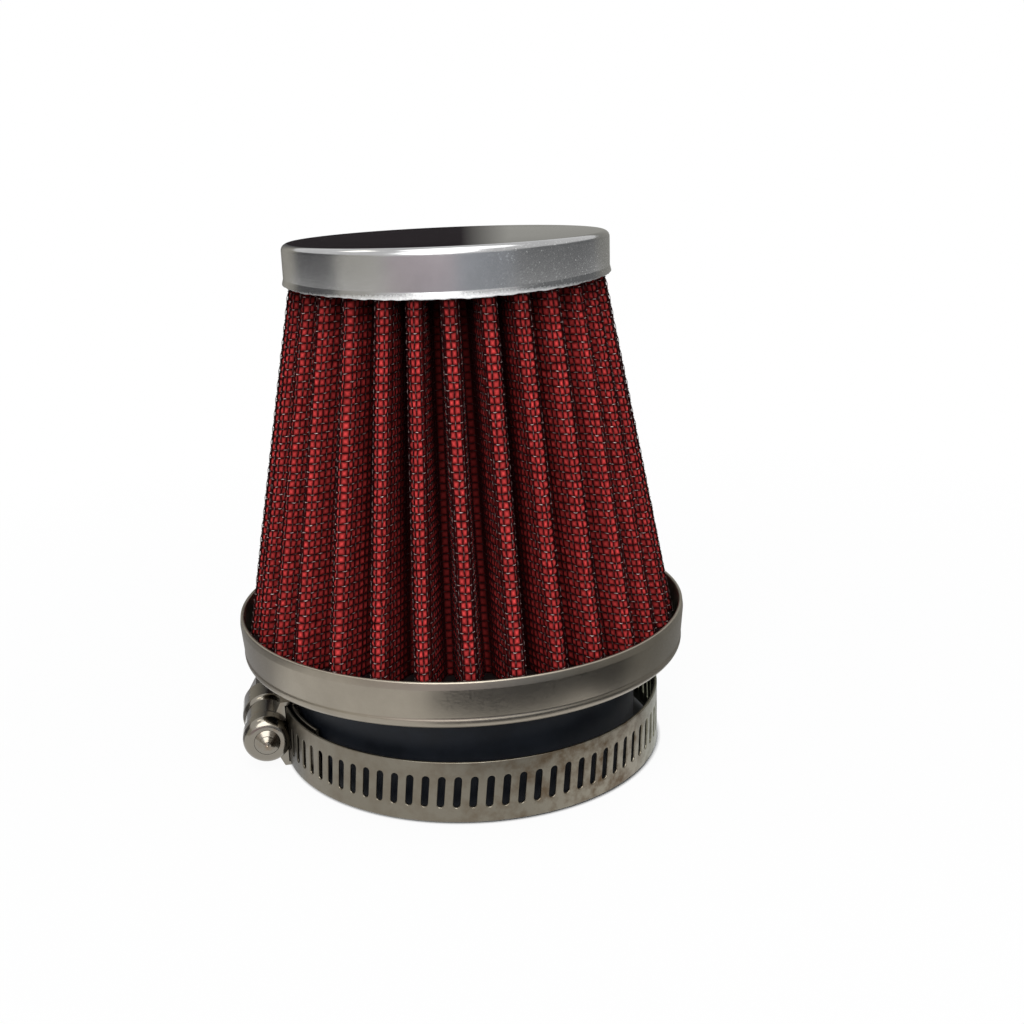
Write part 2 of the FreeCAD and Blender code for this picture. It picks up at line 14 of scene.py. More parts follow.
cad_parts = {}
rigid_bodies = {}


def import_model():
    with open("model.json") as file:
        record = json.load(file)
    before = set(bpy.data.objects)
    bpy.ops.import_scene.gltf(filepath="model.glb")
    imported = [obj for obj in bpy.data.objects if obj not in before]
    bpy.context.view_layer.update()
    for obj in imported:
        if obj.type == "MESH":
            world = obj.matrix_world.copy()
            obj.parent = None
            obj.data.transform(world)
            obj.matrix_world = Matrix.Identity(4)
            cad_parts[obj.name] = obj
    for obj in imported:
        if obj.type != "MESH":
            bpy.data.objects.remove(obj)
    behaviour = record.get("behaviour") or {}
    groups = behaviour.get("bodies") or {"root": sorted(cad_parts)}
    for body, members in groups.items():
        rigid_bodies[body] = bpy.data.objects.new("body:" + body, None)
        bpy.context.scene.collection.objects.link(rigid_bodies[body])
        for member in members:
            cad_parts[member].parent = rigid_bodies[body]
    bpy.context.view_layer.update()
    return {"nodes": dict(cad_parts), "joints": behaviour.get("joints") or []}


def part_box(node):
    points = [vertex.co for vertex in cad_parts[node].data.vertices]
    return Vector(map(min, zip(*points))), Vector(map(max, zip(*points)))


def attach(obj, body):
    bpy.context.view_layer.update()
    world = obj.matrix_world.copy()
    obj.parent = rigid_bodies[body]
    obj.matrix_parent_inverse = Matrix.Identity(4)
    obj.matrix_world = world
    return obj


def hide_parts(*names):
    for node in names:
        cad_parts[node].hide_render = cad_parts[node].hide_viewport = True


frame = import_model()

bl_info = {
    "name": "Cone air filter",
    "version": (1, 0, 0),
    "blender": (4, 5, 0),
    "location": "View3D > Sidebar > Air filter",
    "description": "Dresses the solids of a clamp-on cone air filter",
    "category": "Object",
}

MM = 0.001
NODES = frame["nodes"]
SCREW_JOINT = frame["joints"][0]
FILTER_BODY = SCREW_JOINT["parent"]
SCREW_BODY = SCREW_JOINT["child"]
SAME_LEVEL = 0.01 * MM
WELD_DISTANCE = 0.002 * MM
ROUND_SEGMENTS = 360
BEND_STEPS = 8
WIRE_SIDES = 3
RIDGE_SIDES = 6
TURN_POINTS = 28


# Reading the solids

def radii_at(node, level):
    """Smallest and largest distance from the filter's axis among a solid's points at one height."""
    points = np.array([vertex.co for vertex in NODES[node].data.vertices])
    near = points[np.abs(points[:, 2] - level) < SAME_LEVEL]
    distance = np.hypot(near[:, 0], near[:, 1])
    return float(distance.min()), float(distance.max())


def levels(node):
    """Lowest and highest z of a solid."""
    low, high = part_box(node)
    return low.z, high.z


MEDIA_FOOT, MEDIA_HEAD = levels("pleated_media")
FOLD_FOOT_IN, FOLD_FOOT_OUT = radii_at("pleated_media", MEDIA_FOOT)
FOLD_HEAD_IN, FOLD_HEAD_OUT = radii_at("pleated_media", MEDIA_HEAD)
PAN_FOOT, PAN_RIM = levels("base_pan")
PAN_RIM_IN, PAN_RIM_OUT = radii_at("base_pan", PAN_RIM)
PAN_HOLE = radii_at("base_pan", PAN_FOOT)[0]
CAP_LIP, CAP_TOP = levels("top_cap")
CAP_LIP_OUT = radii_at("top_cap", CAP_LIP)[1]
BAND_LOW, BAND_HIGH = levels("clamp_band")
SCREW_AXIS = Vector(SCREW_JOINT["axis"])
SCREW_POINT = Vector(SCREW_JOINT["pos_m"])
CLAMP_TURN = math.atan2(-SCREW_AXIS.x, SCREW_AXIS.y)


# Settings that a user would change

def length_setting(name, description, millimetres):
    """A length that a user can change."""
    return FloatProperty(name=name, description=description, default=millimetres * MM, unit="LENGTH")


def angle_setting(name, description, degrees):
    """An angle that a user can change."""
    return FloatProperty(name=name, description=description, default=math.radians(degrees), subtype="ANGLE")


def colour_setting(name, description, colour):
    """A colour that a user can change."""
    return FloatVectorProperty(name=name, description=description, default=colour, subtype="COLOR")


class MediaSettings(bpy.types.PropertyGroup):
    """Folded gauze and its wire screen."""

    pleats: IntProperty(name="Pleats", description="Number of folds round the filter", default=30)
    first_ridge: angle_setting("First ridge", "Direction of one ridge", 271.5)
    gather: FloatProperty(
        name="Gather", description="How far the folds crowd together in front at the foot", default=0.045)
    wander: angle_setting("Wander", "Uneven spacing of the folds", 0.7)
    sheet: length_setting("Sheet", "Thickness of the folded sheet", 1.2)
    crest_round: length_setting("Crest radius", "Outer bend of a ridge", 1.75)
    valley_round: length_setting("Valley radius", "Bend at the bottom of a valley", 0.55)
    row_pitch: length_setting("Row pitch", "Distance between cross wires", 1.46)
    column_pitch: length_setting("Column pitch", "Distance between upright wires", 1.31)
    uneven: FloatProperty(
        name="Uneven weave", description="Wires out of place, as a share of the pitch", default=0.11)
    wire_radius: length_setting("Wire radius", "Half the wire's thickness", 0.085)
    weave_height: length_setting("Weave height", "How far wires rise at a crossing", 0.11)
    pillow: length_setting("Pillow", "How far the gauze swells between wires", 0.36)
    gauze_colour: colour_setting("Gauze", "Dyed gauze", (0.49, 0.043, 0.042))
    wire_colour: colour_setting("Wire", "Coated wire", (0.020, 0.004, 0.005))
    bare_wire_colour: colour_setting("Bare wire", "Wire where the coat is worn off", (0.95, 0.72, 0.68))


class MetalSettings(bpy.types.PropertyGroup):
    """Cap and pan."""

    cap_sheet: length_setting("Cap sheet", "Thickness of the cap", 0.5)
    cap_corner: length_setting("Cap corner", "Outer radius of the cap's edge", 1.4)
    cap_flare: length_setting("Cap flare", "How far the lip spreads", 0.3)
    cap_lip: length_setting("Cap lip", "Height of the flared lip", 1.5)
    burr: length_setting("Burr", "Roughness of the cap's cut lip", 0.12)
    lip_rise: length_setting("Lip rise", "How far the lip is drawn up at both sides", 0.8)
    pan_corner: length_setting("Pan corner", "Outer radius of the pan's lower edge", 2.0)
    bead: length_setting("Pan bead", "Depth of the line above the pan's lower edge", 0.16)
    pan_draft: length_setting("Pan draft", "How far the pan draws in downward", 0.4)
    rim_band: length_setting("Rim band", "Height of the band under the pan's rim", 1.5)
    rim_lean: length_setting("Rim lean", "How far that band leans inward", 0.18)
    cap_colour: colour_setting("Cap", "Polished steel", (0.46, 0.46, 0.46))
    # this colour is used for the real scuffs and also paints the highlight on the cap's lip
    scuff_and_lip_highlight_colour: colour_setting("Scuffs", "Bare bright scuffs", (0.85, 0.85, 0.84))
    pan_colour: colour_setting("Pan", "Satin steel", (0.33, 0.295, 0.24))


class ClampSettings(bpy.types.PropertyGroup):
    """Strap, housing and worm screw."""

    screw_offset: length_setting("Screw offset", "Screw axis from the clamp's centre", 44.85)
    strap_inside: length_setting("Strap radius", "Inside radius of the loop", 40.45)
    strap_sheet: length_setting("Strap sheet", "Thickness of the strap", 0.6)
    lap_clearance: length_setting("Lap clearance", "Gap between lapped layers", 0.12)
    tail: angle_setting("Tail", "Free end", 33)
    tongue: angle_setting("Tongue", "Fixed end", 30)
    ease: angle_setting("Ease", "Where the strap starts to pass under itself", 120)
    slots: IntProperty(name="Slots", description="Number of worm slots", default=55)
    slot_pitch: length_setting("Slot pitch", "Distance between slots", 3.175)
    slot_length: length_setting("Slot length", "Slot from end to end", 6.5)
    slot_width: length_setting("Slot width", "Slot across", 1.4)
    slot_lean: angle_setting("Slot lean", "Lean of a slot", 6)
    edge: length_setting("Edge", "Softened edge of the strap and its slots", 0.14)
    thread_pitch: length_setting("Thread pitch", "Advance in one turn", 3.175)
    thread_core: length_setting("Thread core", "Radius of the screw's core", 3.4)
    thread_length: length_setting("Thread length", "Threaded stretch", 12.5)
    thread_ridge: length_setting("Thread ridge", "Half the ridge's thickness", 0.3)
    strap_colour: colour_setting("Strap", "Tarnished steel", (0.205, 0.186, 0.148))
    housing_colour: colour_setting("Housing", "Polished steel", (0.25, 0.23, 0.195))
    stain_colour: colour_setting("Stain", "Brown tarnish", (0.10, 0.065, 0.035))
    film_colour: colour_setting("Film", "Greenish tarnish", (0.17, 0.22, 0.15))


class RubberSettings(bpy.types.PropertyGroup):
    """Neck, sealant and the cage inside them."""

    neck_colour: colour_setting("Neck", "Black rubber", (0.007, 0.009, 0.013))
    seal_colour: colour_setting("Sealant", "Black sealant", (0.009, 0.006, 0.006))
    cage_colour: colour_setting("Cage", "Plain steel", (0.5, 0.5, 0.5))


class StageSettings(bpy.types.PropertyGroup):
    """Camera and studio."""

    camera_back: length_setting("Camera distance", "From the axis to the lens", 256.1)
    camera_height: length_setting("Camera height", "Lens above the floor", 124.27)
    camera_pitch: angle_setting("Pitch", "Downward tilt", 15.84)
    camera_roll: angle_setting("Roll", "Sideways tilt", -2.55)
    lens: FloatProperty(name="Lens", description="Focal length on a 36 mm sensor", default=43.92)
    shift: FloatProperty(name="Shift", description="Sideways shift of the frame", default=0.0536)
    floor_colour: colour_setting("Floor", "Pale floor", (0.93, 0.93, 0.93))
    floor_glow: FloatProperty(
        name="Floor white", description="How far the floor is seen as plain white", default=0.94)
    room_light: FloatProperty(name="Room light", description="Even light from all round", default=0.32)
    room_colour: colour_setting("Room", "Colour of that light", (0.92, 0.96, 1.0))
    key_power: FloatProperty(name="Key", description="Lamp in front, in watts", default=9.0)
    top_power: FloatProperty(name="Top", description="Lamp overhead, in watts", default=4.5)


# Meshes

def add_mesh(name, points, faces=(), edges=(), smooth=True):
    """A mesh object with its place in its mesh."""
    mesh = bpy.data.meshes.new(name)
    mesh.from_pydata([tuple(point) for point in points], [tuple(edge) for edge in edges],
                     [tuple(face) for face in faces])
    if smooth and len(mesh.polygons):
        mesh.polygons.foreach_set("use_smooth", [True] * len(mesh.polygons))
    mesh.update()
    piece = bpy.data.objects.new(name, mesh)
    bpy.context.scene.collection.objects.link(piece)
    return piece


def add_attribute(piece, name, values):
    """A number stored with every point of a piece."""
    attribute = piece.data.attributes.new(name, "FLOAT", "POINT")
    attribute.data.foreach_set("value", np.asarray(values, dtype=np.float32).ravel())


def finish_piece(piece, material, body, slot, *nodes):
    """Give a piece its material and body, and hide the solids it stands for. The slot is not used."""
    piece.data.materials.clear()
    piece.data.materials.append(material)
    piece.data.polygons.foreach_set("material_index", [0] * len(piece.data.polygons))
    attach(piece, body)
    if nodes:
        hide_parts(*nodes)


def dress_solid(node, material):
    """Give a solid that stays as it is a finished material."""
    solid = NODES[node]
    solid.data.materials.clear()
    solid.data.materials.append(material)


def rounded_outline(corners, steps):
    """Points along a closed outline whose corners are (x, y, radius), each bend in so many steps."""
    points = []
    count = len(corners)
    for i, (x, y, radius) in enumerate(corners):
        here = Vector((x, y))
        if radius == 0:
            points.append(here)
            continue
        before = (Vector(corners[i - 1][:2]) - here).normalized()
        after = (Vector(corners[(i + 1) % count][:2]) - here).normalized()
        half_angle = before.angle(after) / 2
        centre = here + (before + after).normalized() * (radius / math.sin(half_angle))
        first = (here + before * (radius / math.tan(half_angle)) - centre).normalized()
        last = (here + after * (radius / math.tan(half_angle)) - centre).normalized()
        for step in range(steps + 1):
            points.append(centre + radius * first.slerp(last, step / steps))
    return points


def turned(outline, segments):
    """Points and faces of an outline (radius, height) turned round the axis; radius 0 is a pole."""
    points = []
    rows = []
    for radius, height in outline:
        if radius == 0:
            rows.append([len(points)] * segments)
            points.append((0, 0, height))
            continue
        rows.append(list(range(len(points), len(points) + segments)))
        for i in range(segments):
            angle = 2 * math.pi * i / segments
            points.append((radius * math.cos(angle), radius * math.sin(angle), height))
    faces = []
    for low, high in zip(rows, rows[1:] + rows[:1]):
        for i in range(segments):
            j = (i + 1) % segments
            corner = list(dict.fromkeys((low[i], low[j], high[j], high[i])))
            if len(corner) > 2:
                faces.append(corner)
    return points, faces


# Geometry Nodes

def set_inputs(node, **values):
    """Set a node's inputs by name."""
    for label, value in values.items():
        node.inputs[label.replace("_", " ")].default_value = value


def add_node(tree, kind, links=None, operation=None, **values):
    """A node with its inputs set by name and linked from other outputs."""
    node = tree.nodes.new(kind)
    if operation:
        node.operation = operation
    set_inputs(node, **values)
    for label, output in (links or {}).items():
        tree.links.new(output, node.inputs[label])
    return node


def new_tree(name, sockets):
    """An empty geometry tree with these extra inputs, its inputs' sockets and its end."""
    tree = bpy.data.node_groups.new(name, "GeometryNodeTree")
    tree.interface.new_socket("Geometry", in_out="INPUT", socket_type="NodeSocketGeometry")
    for label, kind in sockets:
        tree.interface.new_socket(label, in_out="INPUT", socket_type=kind)
    tree.interface.new_socket("Geometry", in_out="OUTPUT", socket_type="NodeSocketGeometry")
    return tree, tree.nodes.new("NodeGroupInput").outputs, tree.nodes.new("NodeGroupOutput")


def end_tree(tree, given, end, geometry):
    """Close a tree with realized instances, smooth shading and a material."""
    real = add_node(tree, "GeometryNodeRealizeInstances", {"Geometry": geometry})
    smooth = add_node(tree, "GeometryNodeSetShadeSmooth", {"Geometry": real.outputs["Geometry"]})
    painted = add_node(tree, "GeometryNodeSetMaterial", {
        "Geometry": smooth.outputs["Geometry"], "Material": given["Material"]})
    tree.links.new(painted.outputs["Geometry"], end.inputs["Geometry"])


def swept(tree, path, section):
    """A closed bar of one section along a path."""
    sweep = add_node(tree, "GeometryNodeCurveToMesh", {
        "Curve": path.outputs["Curve"], "Profile Curve": section.outputs["Curve"]}, Fill_Caps=True)
    return sweep.outputs["Mesh"]


def wire_tree():
    """Round wire along every run of edges."""
    tree, given, end = new_tree("wire_along_edges", (
        ("Wire Radius", "NodeSocketFloat"), ("Sides", "NodeSocketInt"), ("Material", "NodeSocketMaterial")))
    runs = add_node(tree, "GeometryNodeMeshToCurve", {"Mesh": given["Geometry"]})
    section = add_node(tree, "GeometryNodeCurvePrimitiveCircle", {
        "Resolution": given["Sides"], "Radius": given["Wire Radius"]})
    end_tree(tree, given, end, swept(tree, runs, section))
    return tree


def ring_tree():
    """Copies of one cell set round the Z axis at equal angles and joined at their edges."""
    tree, given, end = new_tree("cells_in_a_ring", (
        ("Count", "NodeSocketInt"), ("First Angle", "NodeSocketFloat"), ("Angle Step", "NodeSocketFloat"),
        ("Material", "NodeSocketMaterial")))
    points = add_node(tree, "GeometryNodePoints", {"Count": given["Count"]})
    index = tree.nodes.new("GeometryNodeInputIndex")
    angle = add_node(tree, "ShaderNodeMath", {
        0: index.outputs["Index"], 1: given["Angle Step"], 2: given["First Angle"]}, operation="MULTIPLY_ADD")
    turn = add_node(tree, "ShaderNodeCombineXYZ", {"Z": angle.outputs["Value"]})
    copies = add_node(tree, "GeometryNodeInstanceOnPoints", {
        "Points": points.outputs["Points"], "Instance": given["Geometry"],
        "Rotation": turn.outputs["Vector"]})
    real = add_node(tree, "GeometryNodeRealizeInstances", {"Geometry": copies.outputs["Instances"]})
    weld = add_node(tree, "GeometryNodeMergeByDistance", {"Geometry": real.outputs["Geometry"]},
                    Distance=WELD_DISTANCE)
    end_tree(tree, given, end, weld.outputs["Geometry"])
    return tree


def helix_tree():
    """A ridge wound round the Z axis."""
    tree, given, end = new_tree("wound_ridge", (
        ("Core Radius", "NodeSocketFloat"), ("Turns", "NodeSocketFloat"), ("Length", "NodeSocketFloat"),
        ("Ridge Radius", "NodeSocketFloat"), ("Material", "NodeSocketMaterial")))
    spiral = add_node(tree, "GeometryNodeCurveSpiral", {
        "Rotations": given["Turns"], "Start Radius": given["Core Radius"], "End Radius": given["Core Radius"],
        "Height": given["Length"]}, Resolution=TURN_POINTS)
    section = add_node(tree, "GeometryNodeCurvePrimitiveCircle", {"Radius": given["Ridge Radius"]},
                       Resolution=RIDGE_SIDES)
    end_tree(tree, given, end, swept(tree, spiral, section))
    return tree


def run_tree(piece, tree, **inputs):
    """Evaluate a tree on a piece and keep the result as its plain mesh."""
    modifier = piece.modifiers.new("shape", "NODES")
    modifier.node_group = tree
    for label, value in inputs.items():
        wanted = label.replace("_", " ").title()
        socket = next(item for item in tree.interface.items_tree
                      if item.in_out == "INPUT" and item.name == wanted)
        modifier[socket.identifier] = value
    graph = bpy.context.evaluated_depsgraph_get()
    mesh = bpy.data.meshes.new_from_object(piece.evaluated_get(graph))
    piece.modifiers.remove(modifier)
    old = piece.data
    piece.data = mesh
    mesh.name = piece.name
    bpy.data.meshes.remove(old)


# Materials

GRAIN_DEPTH = 0.1 * MM


def blotch_group():
    """Cloudy mask of blotches of one size, and a finer grain as a second output."""
    name = "blotches"
    if name in bpy.data.node_groups:
        return bpy.data.node_groups[name]
    tree = bpy.data.node_groups.new(name, "ShaderNodeTree")
    for side, labels in (("INPUT", ("Size", "Low", "High")), ("OUTPUT", ("Mask", "Grain"))):
        for label in labels:
            tree.interface.new_socket(label, in_out=side, socket_type="NodeSocketFloat")
    start = tree.nodes.new("NodeGroupInput")
    end = tree.nodes.new("NodeGroupOutput")
    place = tree.nodes.new("ShaderNodeTexCoord").outputs["Object"]
    broad = add_node(tree, "ShaderNodeTexNoise", {"Vector": place, "Scale": start.outputs["Size"]},
                     Detail=5.0, Roughness=0.62)
    fine = add_node(tree, "ShaderNodeTexNoise", {"Vector": place}, Scale=2600.0, Detail=3.0)
    mask = add_node(tree, "ShaderNodeMapRange", {
        "Value": broad.outputs["Fac"], "From Min": start.outputs["Low"], "From Max": start.outputs["High"]})
    tree.links.new(mask.outputs["Result"], end.inputs["Mask"])
    tree.links.new(fine.outputs["Fac"], end.inputs["Grain"])
    return tree


def blotches(tree, size, low, high):
    """The outputs of the blotch group placed in a material."""
    node = tree.nodes.new("ShaderNodeGroup")
    node.node_tree = blotch_group()
    set_inputs(node, Size=size, Low=low, High=high)
    return node.outputs


def mix_colour(tree, factor, first, second):
    """Mix two colours; each may be an output or a plain colour."""
    node = tree.nodes.new("ShaderNodeMix")
    node.data_type = "RGBA"
    tree.links.new(factor, node.inputs["Factor"])
    for label, value in (("A", first), ("B", second)):
        socket = next(item for item in node.inputs if item.name == label and item.type == "RGBA")
        if isinstance(value, bpy.types.NodeSocket):
            tree.links.new(value, socket)
        else:
            socket.default_value = (*value, 1.0)
    return next(item for item in node.outputs if item.type == "RGBA")


def map_value(tree, value, low, high, from_low=0.0, from_high=1.0):
    """Stretch a value onto another range."""
    node = add_node(tree, "ShaderNodeMapRange", {"Value": value}, From_Min=from_low, From_Max=from_high,
                    To_Min=low, To_Max=high)
    return node.outputs["Result"]


def fade_colour(tree, value, start, end, first, second):
    """One colour where a value is below start, another where it is above end, and a mix between."""
    return mix_colour(tree, map_value(tree, value, 0.0, 1.0, start, end), first, second)


def position(tree):
    """The shaded point's X, Y and Z in the filter's frame."""
    place = tree.nodes.new("ShaderNodeTexCoord")
    return add_node(tree, "ShaderNodeSeparateXYZ", {"Vector": place.outputs["Object"]}).outputs


def distance_from(tree, point):
    """How far the shaded point lies from a place in the filter's frame."""
    place = tree.nodes.new("ShaderNodeTexCoord")
    reach = add_node(tree, "ShaderNodeVectorMath", {0: place.outputs["Object"]}, operation="DISTANCE")
    reach.inputs[1].default_value = point
    return reach.outputs["Value"]


def combined(tree, operation, first, second):
    """Two values put into one by a sum, a product or a maximum."""
    return add_node(tree, "ShaderNodeMath", {0: first, 1: second}, operation=operation).outputs["Value"]


def multiplied(tree, first, second):
    """One value times another."""
    return combined(tree, "MULTIPLY", first, second)


def feed(tree, shader, **outputs):
    """Link outputs to a shader's inputs by name."""
    for label, output in outputs.items():
        tree.links.new(output, shader.inputs[label.replace("_", " ")])


def point_value(tree, name):
    """A number stored with the piece's points."""
    node = tree.nodes.new("ShaderNodeAttribute")
    node.attribute_name = name
    return node.outputs["Fac"]


def new_material(name, metallic=0.0, roughness=0.5, specular=0.5):
    """A material with an empty Principled shader."""
    material = bpy.data.materials.new(name)
    material.use_nodes = True
    tree = material.node_tree
    shader = tree.nodes["Principled BSDF"]
    set_inputs(shader, Metallic=metallic, Roughness=roughness, Specular_IOR_Level=specular)
    return material, tree, shader


def add_bump(tree, shader, height, strength, distance):
    """Bump from a height."""
    bump = add_node(tree, "ShaderNodeBump", {"Height": height}, Strength=strength, Distance=distance)
    tree.links.new(bump.outputs["Normal"], shader.inputs["Normal"])


def worn_metal(name, colour, stain, roughness, size, low, high, bump=0.03):
    """Steel with cloudy stains, uneven gloss and a fine grain."""
    material, tree, shader = new_material(name, metallic=1.0)
    cloud = blotches(tree, size, low, high)
    paint = mix_colour(tree, cloud["Mask"], colour, stain)
    rough = map_value(tree, cloud["Grain"], roughness * 0.85, roughness * 1.25, 0.3, 0.7)
    feed(tree, shader, Base_Color=paint, Roughness=rough)
    add_bump(tree, shader, cloud["Grain"], bump, GRAIN_DEPTH)
    return material


def gauze_material(settings):
    """Dyed cotton gauze with painted light on the ridges and painted shade in the valleys and along the
    wires.
    """
    material, tree, shader = new_material("red_gauze", roughness=0.8, specular=0.02)
    cloud = blotches(tree, 420.0, 0.35, 0.7)
    colour = Vector(settings.gauze_colour)
    # near black: the colour of the painted shade in the valleys and along the wires
    painted_shade_colour = colour * 0.05
    depth = point_value(tree, "fold_depth")
    level = position(tree)["Z"]

    # each mesh has its own random tone, painted lighter on the ridges and painted shade on the flanks
    lit_ridge_tone = mix_colour(tree, point_value(tree, "tone"), colour * 0.75, colour * 1.6)
    shaded_flank_tone = mix_colour(tree, point_value(tree, "tone"), colour * 0.5, colour * 0.95)
    ridge = mix_colour(tree, map_value(tree, cloud["Mask"], 0.0, 0.5), lit_ridge_tone, colour * 0.6)
    flank = fade_colour(tree, depth, 0.03, 0.25, ridge, shaded_flank_tone)

    # painted shade: valleys go dark sooner toward the cap; painted light: their floors are paler at the foot
    rise = map_value(tree, level, -0.08, 0.20, MEDIA_FOOT, MEDIA_HEAD)
    sunk = combined(tree, "ADD", depth, rise)
    valley = fade_colour(tree, sunk, 0.50, 0.75, flank, painted_shade_colour)
    # painted light: valley floors lighter toward the foot
    open_below = map_value(tree, level, 1.0, 0.3, MEDIA_FOOT, MEDIA_HEAD)
    painted_lit_floor = multiplied(tree, map_value(tree, depth, 0.0, 1.0, 0.84, 0.95), open_below)
    thread = mix_colour(tree, painted_lit_floor, valley, colour * 0.9)

    # painted shade along the wires, painted shadow under the cap, and painted shade where a ridge turns away
    beaded = fade_colour(tree, point_value(tree, "bead"), 0.05, 0.8, painted_shade_colour, thread)
    # painted shadow of the cap on the pleats
    painted_shadow = map_value(tree, level, 0.0, 0.6, CAP_LIP - 9 * MM, CAP_LIP)
    shadowed_under_cap = mix_colour(tree, painted_shadow, beaded, colour * 0.06)
    # painted shade where the surface turns away from view
    turned_away = tree.nodes.new("ShaderNodeLayerWeight").outputs["Facing"]
    crest = map_value(tree, depth, 1.0, 0.0, 0.10, 0.35)
    edge_on = multiplied(tree, map_value(tree, turned_away, 0.0, 1.0, 0.24, 0.5), crest)
    feed(tree, shader, Base_Color=mix_colour(tree, edge_on, shadowed_under_cap, colour * 0.04))
    add_bump(tree, shader, cloud["Grain"], 0.5, 0.12 * MM)
    return material


def wire_material(settings, name, bare):
    """Dark coated wire, worn bright where it passes over another wire; bare is how much of that shows."""
    material, tree, shader = new_material(name, specular=0.02)
    chips = blotches(tree, 600.0, 0.38, 0.62)
    over = map_value(tree, point_value(tree, "over"), 0.0, bare, 0.6, 0.92)
    open_part = map_value(tree, point_value(tree, "fold_depth"), 1.0, 0.05, 0.15, 0.5)
    worn = multiplied(tree, multiplied(tree, chips["Mask"], over), open_part)
    feed(tree, shader,
         Base_Color=mix_colour(tree, worn, settings.wire_colour, settings.bare_wire_colour),
         Metallic=map_value(tree, worn, 0.0, 0.9),
         Roughness=map_value(tree, worn, 0.6, 0.25))
    return material


def rubber_material(name, colour, roughness, specular):
    """Black rubber with a soft sheen and faint dust."""
    material, tree, shader = new_material(name, specular=specular)
    cloud = blotches(tree, 120.0, 0.4, 0.75)
    base = Vector(colour)
    feed(tree, shader,
         Base_Color=mix_colour(tree, cloud["Mask"], base, base * 1.8),
         Roughness=map_value(tree, cloud["Mask"], roughness, roughness * 1.25))
    add_bump(tree, shader, cloud["Grain"], 0.08, GRAIN_DEPTH)
    return material


# Pleats

FRONT = 1.5 * math.pi
CREST_POINTS = 13
VALLEY_POINTS = 7
KNOT_DEPTH = 2.2
SWELL_RANGE = (0.75, 1.2)
WANDER_SEED = 7
WEAVE_SEED = 5
SWELL_SEED = 11


def ridge_angles(settings, share):
    """Direction of every ridge at a share of the height, front folds gathered and all a little uneven."""
    count = settings.pleats
    chance = np.random.default_rng(WANDER_SEED)
    foot_jitter, head_jitter = chance.normal(0.0, settings.wander, (2, count))
    even = settings.first_ridge + 2 * math.pi * np.arange(count) / count
    spread = settings.gather * (2 * share - 1) * np.sin(even - FRONT)
    return even + spread + foot_jitter * (1 - share) + head_jitter * share


def fold_line(settings, share):
    """The folded sheet's outer line at a share of the height, as closely spaced points in the XY plane."""
    ridge_radius = FOLD_FOOT_OUT + (FOLD_HEAD_OUT - FOLD_FOOT_OUT) * share
    valley_floor = FOLD_FOOT_IN + (FOLD_HEAD_IN - FOLD_FOOT_IN) * share + settings.sheet
    crest = settings.crest_round
    valley = settings.valley_round
    crest_centre = ridge_radius - crest
    valley_centre = valley_floor + valley
    ridges = ridge_angles(settings, share)
    following = np.append(ridges[1:], ridges[0] + 2 * math.pi)
    half = (following - ridges) / 2
    across = valley_centre * np.sin(half)
    along = crest_centre - valley_centre * np.cos(half)
    tilt = np.arctan2(across, along) - np.arcsin((crest + valley) / np.hypot(across, along))
    turn_after = math.pi / 2 - tilt
    turn_before = np.roll(turn_after, 1)
    line = []
    for k in range(settings.pleats):
        for step in np.linspace(-1, 1, CREST_POINTS):
            turn = turn_before[k] if step < 0 else turn_after[k]
            line.append(polar(crest_centre, ridges[k]) + polar(crest, ridges[k] + step * turn))
        middle = ridges[k] + half[k]
        swing = turn_after[k] - half[k]
        for step in np.linspace(1, -1, VALLEY_POINTS):
            line.append(polar(valley_centre, middle) + polar(valley, middle + math.pi + step * swing))
    return np.array(line)


def polar(radius, angle):
    """A point in the XY plane."""
    return np.array((radius * math.cos(angle), radius * math.sin(angle)))


def woven_grid(settings):
    """Crossing points of the wire screen (rows, columns, xyz) and the sheet's outward direction there."""
    slant = math.hypot(MEDIA_HEAD - MEDIA_FOOT, FOLD_FOOT_OUT - FOLD_HEAD_OUT)
    rows = round(slant / settings.row_pitch)
    shares = np.linspace(0, 1, rows + 1)
    middle = fold_line(settings, 0.5)
    run = np.linalg.norm(np.roll(middle, -1, axis=0) - middle, axis=1).sum()
    columns = round(run / settings.column_pitch / 2) * 2
    grid = np.zeros((rows + 1, columns, 3))
    chance = np.random.default_rng(WEAVE_SEED)
    sway = chance.normal(0, settings.uneven, columns)
    for row, share in enumerate(shares):
        line = fold_line(settings, share)
        closed = np.vstack((line, line[:1]))
        lengths = np.append(0, np.linalg.norm(np.diff(closed, axis=0), axis=1).cumsum())
        places = np.arange(columns) + sway + chance.normal(0, settings.uneven / 2, columns)
        stations = (places / columns * lengths[-1]) % lengths[-1]
        grid[row, :, 0] = np.interp(stations, lengths, closed[:, 0])
        grid[row, :, 1] = np.interp(stations, lengths, closed[:, 1])
        grid[row, :, 2] = MEDIA_FOOT + (MEDIA_HEAD - MEDIA_FOOT) * share
        if 0 < row < rows:
            grid[row, :, 2] += settings.row_pitch * chance.normal(0, settings.uneven / 2, columns)
    round_way = np.roll(grid, -1, axis=1) - np.roll(grid, 1, axis=1)
    upward = np.gradient(grid, axis=0)
    outward = np.cross(round_way, upward)
    outward /= np.linalg.norm(outward, axis=2, keepdims=True)
    return grid, outward


def fold_depths(points):
    """How deep in a valley each point lies, from 0 on the ridges to 1 at the valley floor."""
    share = np.clip((points[:, 2] - MEDIA_FOOT) / (MEDIA_HEAD - MEDIA_FOOT), 0, 1)
    ridge = FOLD_FOOT_OUT + (FOLD_HEAD_OUT - FOLD_FOOT_OUT) * share
    floor = FOLD_FOOT_IN + (FOLD_HEAD_IN - FOLD_FOOT_IN) * share
    return np.clip((ridge - np.hypot(points[:, 0], points[:, 1])) / (ridge - floor), 0, 1)


